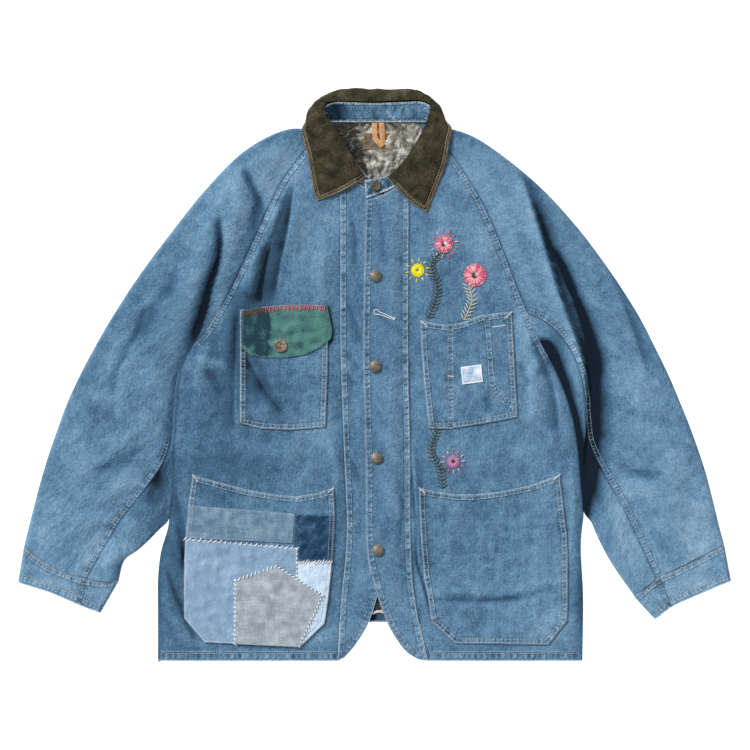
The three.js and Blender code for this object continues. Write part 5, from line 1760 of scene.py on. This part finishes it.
class JACKET_OT_handwork(bpy.types.Operator):
    """Patch stitches, bar tacks, the worked buttonhole, whip stitches and embroidery"""

    bl_idname = "jacket.handwork"
    bl_label = "Hand stitches"

    def execute(self, context):
        self.rng = np.random.default_rng(7)
        self.patches()
        self.tacks()
        self.buttonhole()
        self.flap()
        self.flowers()
        self.label()
        return {"FINISHED"}

    def across(self, path, pitch, size, lean=0.8, wobble=0.35):
        """Short stitches across an edge, a little uneven in length and lean."""
        path = np.asarray(path, float)
        count = max(2, int(lengths(path)[-1] / pitch))
        at = evenly(path, count)
        step = direction(at)
        jitter = self.rng.normal(0, wobble, (count, 2))
        half = (leftward(step) + step * lean + jitter) * size / 2 / math.hypot(1, lean)
        return np.stack([at - half, at + half], 1)

    def patches(self):
        edges = [
            (PATCHES["patch_light_blue"]["top"], 6.6, 6.4), ([(-106, -240), (-106.5, -276)], 4.6, 3.2),
            (PATCHES["patch_pale"]["top"], 3.4, 7.0), (PATCHES["patch_pentagon"]["top"], 5.6, 4.8),
            (PATCHES["patch_pentagon"]["left"], 5.6, 4.8), (PATCHES["patch_pentagon"]["right"], 5.4, 4.8),
        ]
        pairs = np.vstack([self.across(path, pitch, size) for path, pitch, size in edges])
        hand_stitches("stitches_patches", pairs, "white_thread", r=0.82, arch=1.0)

    def tacks(self):
        bars = [((101, -1), (109, -2)), ((163, 66), (179, 68)), ((63, 75), (73, 66)), ((179, 77), (189, 87)),
                ((-250, -137), (-243, -146)), ((-56, -155), (-64, -162)), ((61, -155), (69, -162)),
                ((255, -137), (246, -144))]
        pairs = [self.across(evenly(bar, 12), 0.9, 2.0, 0.1, 0.05) for bar in bars]
        hand_stitches("bar_tacks", np.vstack(pairs), "white_thread", r=0.35, arch=0.3)

    def buttonhole(self):
        """A worked ring round an eye, and a worked line along both sides of its slot."""
        eye, tail = np.array([2.5, 86.5]), np.array([27.5, 77.0])
        axis = (tail - eye) / np.linalg.norm(tail - eye)
        side = np.array([-axis[1], axis[0]])
        angle = np.linspace(0.55, 2 * math.pi - 0.55, 14)[:, None]
        ring = eye + 3.4 * (axis * np.cos(angle) + side * np.sin(angle))
        upper = evenly([ring[0], tail + side * 0.9], 14)
        lower = evenly([ring[-1], tail - side * 0.9], 14)
        bar = evenly([tail + side * 2.6, tail - side * 2.6], 4)
        pairs = [np.stack([line[:-1], line[1:]], 1) for line in (ring, upper, lower, bar)]
        hand_stitches("buttonhole", np.vstack(pairs), "white_thread", r=0.7, arch=0.5)

    def flap(self):
        """A blanket stitch along the flap's sewn edge: upright bars, and a cord over their tops.
        Its first quarter is brown and close, the rest pink with orange between."""
        top = evenly([(-180, 88), (-163, 91), (-147, 93.5), (-123, 95.5), (-95, 96), (-67, 95)], 400)
        runs = lengths(top)

        def bars(start, end, pitch, length, lean):
            at = np.arange(start, end, pitch)
            head = np.stack([np.interp(at, runs, top[:, i]) for i in (0, 1)], 1)
            jitter = self.rng.normal(0, 0.35, head.shape)
            return np.stack([head, head + jitter + [lean, -length]], 1)

        cord = np.stack([top[90::12][:-1], top[90::12][1:]], 1)
        for name, pairs, paint, r in (
            ("whip_brown", bars(0.5, 33, 2.9, 8.5, -3.4), "brown_thread", 0.75),
            ("whip_pink", bars(31, 114, 5.4, 7.8, -0.6), "pink_thread", 0.75),
            ("whip_orange", bars(33.6, 114, 5.4, 6.2, 1.4), "peach_thread", 0.45),
            ("whip_cord", cord, "violet_thread", 0.6),
        ):
            hand_stitches(name, pairs, paint, r=r, arch=0.7)
        hand_stitches("flap_loop", [((-130, 45), (-129.4, 51))], "tan", r=0.9)

    def wheel(self, centre, r_in, r_out, spokes):
        """A buttonhole wheel: close stitches from an inner to an outer ring, and their looped rim."""
        d = compass(spokes)
        n = np.roll(d, -1, axis=0)
        c = np.array(centre, float)
        inward = np.stack([c + d * r_in, c + (d * 0.97 + n * 0.03) * r_out], 1)
        rim = np.stack([c + d * r_out, c + n * r_out], 1)
        return np.vstack([inward, rim])

    def rays(self, centre, r_in, r_out, count, turn=0.2):
        """Single stitches that point away from a centre."""
        d = compass(count, turn)
        c = np.array(centre, float)
        return np.stack([c + d * r_in, c + d * r_out], 1)

    def stem(self, path, size, pitch):
        """Feather stitch: pairs of slanting stitches that meet on the stem's line."""
        path = curve(path, 60)
        path = evenly(path, max(4, int(lengths(path)[-1] / pitch)))
        step = direction(path)
        side = leftward(step)
        out = [np.stack([path, path + side * size * k - step * size * 0.75], 1) for k in (1, -1)]
        out.append(np.stack([path[:-1], path[1:]], 1))
        return np.vstack(out)

    def flowers(self):
        pink = np.vstack([
            self.wheel((96, 180), 3.2, 11.5, 44), self.rays((96, 180), 14.5, 20.5, 13),
            self.wheel((138.5, 137), 3.2, 14.5, 56), self.rays((138.5, 137), 12, 16.5, 24),
            self.rays((108.5, -119), 11.5, 17.0, 12, 0.05)])
        violet = self.wheel((108.5, -119), 2.2, 8.0, 32)
        hand_stitches("flower_violet", violet, "violet_thread", r=0.8)
        pale = self.rng.random(len(pink)) < 0.36
        hand_stitches("flowers_pink", pink[~pale], "pink_thread", r=0.85)
        hand_stitches("flowers_rose", pink[pale], "rose_thread", r=0.85, arch=0.8)
        yellow = np.vstack([self.wheel((59.5, 144), 1.6, 8.6, 34), self.rays((59.5, 144), 11.5, 17, 10)])
        hand_stitches("flower_yellow", yellow, "yellow_thread", r=0.85)
        dark = np.vstack([
            self.stem([(91, 168), (78, 152), (86, 124), (84, 104), (74, 78)], 7.4, 4.6),
            self.stem([(87, -76), (79, -96), (80, -112), (90, -128), (94, -156)], 6.8, 4.5)])
        hand_stitches("stems_dark", dark, "dark_thread", r=0.74)
        cream = self.stem([(130, 122), (134, 104), (128, 86), (123, 76)], 7.6, 4.7)
        hand_stitches("stem_cream", cream, "cream_thread", r=0.8)
        white = np.vstack([self.wheel((97.5, 181), 0.4, 2.4, 7), self.wheel((140, 138), 0.4, 2.0, 7)])
        hand_stitches("flower_hearts", white, "white_thread", r=0.6, arch=0.9)
        eyes = np.vstack([self.wheel((94.5, 179), 0.3, 2.2, 7), self.wheel((137.5, 136.5), 0.3, 3.4, 9),
                          self.wheel((108.5, -119), 0.3, 1.8, 7)])
        hand_stitches("flower_eyes", eyes, "dark_thread", r=0.7, arch=0.8)

    def label(self):
        """Running stitches that hold the bare neck label."""
        rows = []
        for y in (311.8, 315.5, 327, 332):
            rows += [((x, y), (x + 2.8, y)) for x in np.arange(-15, 21, 4.4) if not -5 < x < 15 or y < 312]
        rows += [((x, y), (x, y + 2.6)) for x in (-15.4, 22.3) for y in (313, 318, 323, 328)]
        hand_stitches("label_stitches", rows, "orange_thread", r=0.35, arch=0.25)


class JACKET_OT_stage(bpy.types.Operator):
    """Pale floor, soft light from the upper left and the camera straight above"""

    bl_idname = "jacket.stage"
    bl_label = "Stage"

    def execute(self, context):
        scene = context.scene
        p = settings()
        mesh = bpy.data.meshes.new("floor")
        size = 6.0
        mesh.from_pydata([(-size, -size, -0.0002), (size, -size, -0.0002), (size, size, -0.0002),
                          (-size, size, -0.0002)], [], [(0, 1, 2, 3)])
        floor = bpy.data.objects.new("floor", mesh)
        scene.collection.objects.link(floor)
        mesh.materials.append(floor_paint())
        sun = bpy.data.lights.new("key", "SUN")
        sun.energy, sun.angle = p.key, math.radians(24)
        lamp = bpy.data.objects.new("key", sun)
        lamp.rotation_euler = Vector((0.66, -0.60, -0.68)).to_track_quat("-Z", "Y").to_euler()
        scene.collection.objects.link(lamp)
        world = bpy.data.worlds.new("studio")
        scene.world = world
        world.use_nodes = True
        back = world.node_tree.nodes["Background"]
        back.inputs["Color"].default_value = (1.0, 1.0, 1.0, 1.0)
        back.inputs["Strength"].default_value = p.fill
        data = bpy.data.cameras.new("camera")
        camera = bpy.data.objects.new("camera", data)
        camera.location = (0.0007, 0.0, p.camera_height)
        data.sensor_width = 36.0
        data.lens = 36.0 * (p.camera_height - 0.008) / p.view_width
        data.clip_end = 50.0
        scene.collection.objects.link(camera)
        scene.camera = camera
        scene.view_settings.view_transform = "Standard"
        return {"FINISHED"}


class JACKET_PT_panel(bpy.types.Panel):
    """The jacket's sizes and the pieces in the order they are made"""

    bl_idname = "JACKET_PT_panel"
    bl_label = "Jacket"
    bl_space_type = "VIEW_3D"
    bl_region_type = "UI"
    bl_category = "Jacket"

    def draw(self, context):
        for name in JacketSettings.__annotations__:
            self.layout.prop(context.scene.jacket, name)
        for operator in OPERATORS:
            self.layout.operator(operator.bl_idname)


OPERATORS = (
    JACKET_OT_stage,
    JACKET_OT_body,
    JACKET_OT_sleeves,
    JACKET_OT_collar,
    JACKET_OT_pockets,
    JACKET_OT_buttons,
    JACKET_OT_seams,
    JACKET_OT_handwork,
)
CLASSES = (JacketSettings, *OPERATORS, JACKET_PT_panel)


def register():
    for item in CLASSES:
        bpy.utils.register_class(item)
    bpy.types.Scene.jacket = bpy.props.PointerProperty(type=JacketSettings)


def unregister():
    del bpy.types.Scene.jacket
    for item in reversed(CLASSES):
        bpy.utils.unregister_class(item)


def main():
    register()
    bpy.ops.jacket.stage()
    bpy.ops.jacket.body()
    bpy.ops.jacket.sleeves()
    bpy.ops.jacket.collar()
    bpy.ops.jacket.pockets()
    bpy.ops.jacket.buttons()
    bpy.ops.jacket.seams()
    bpy.ops.jacket.handwork()


if __name__ == "__main__":
    main()
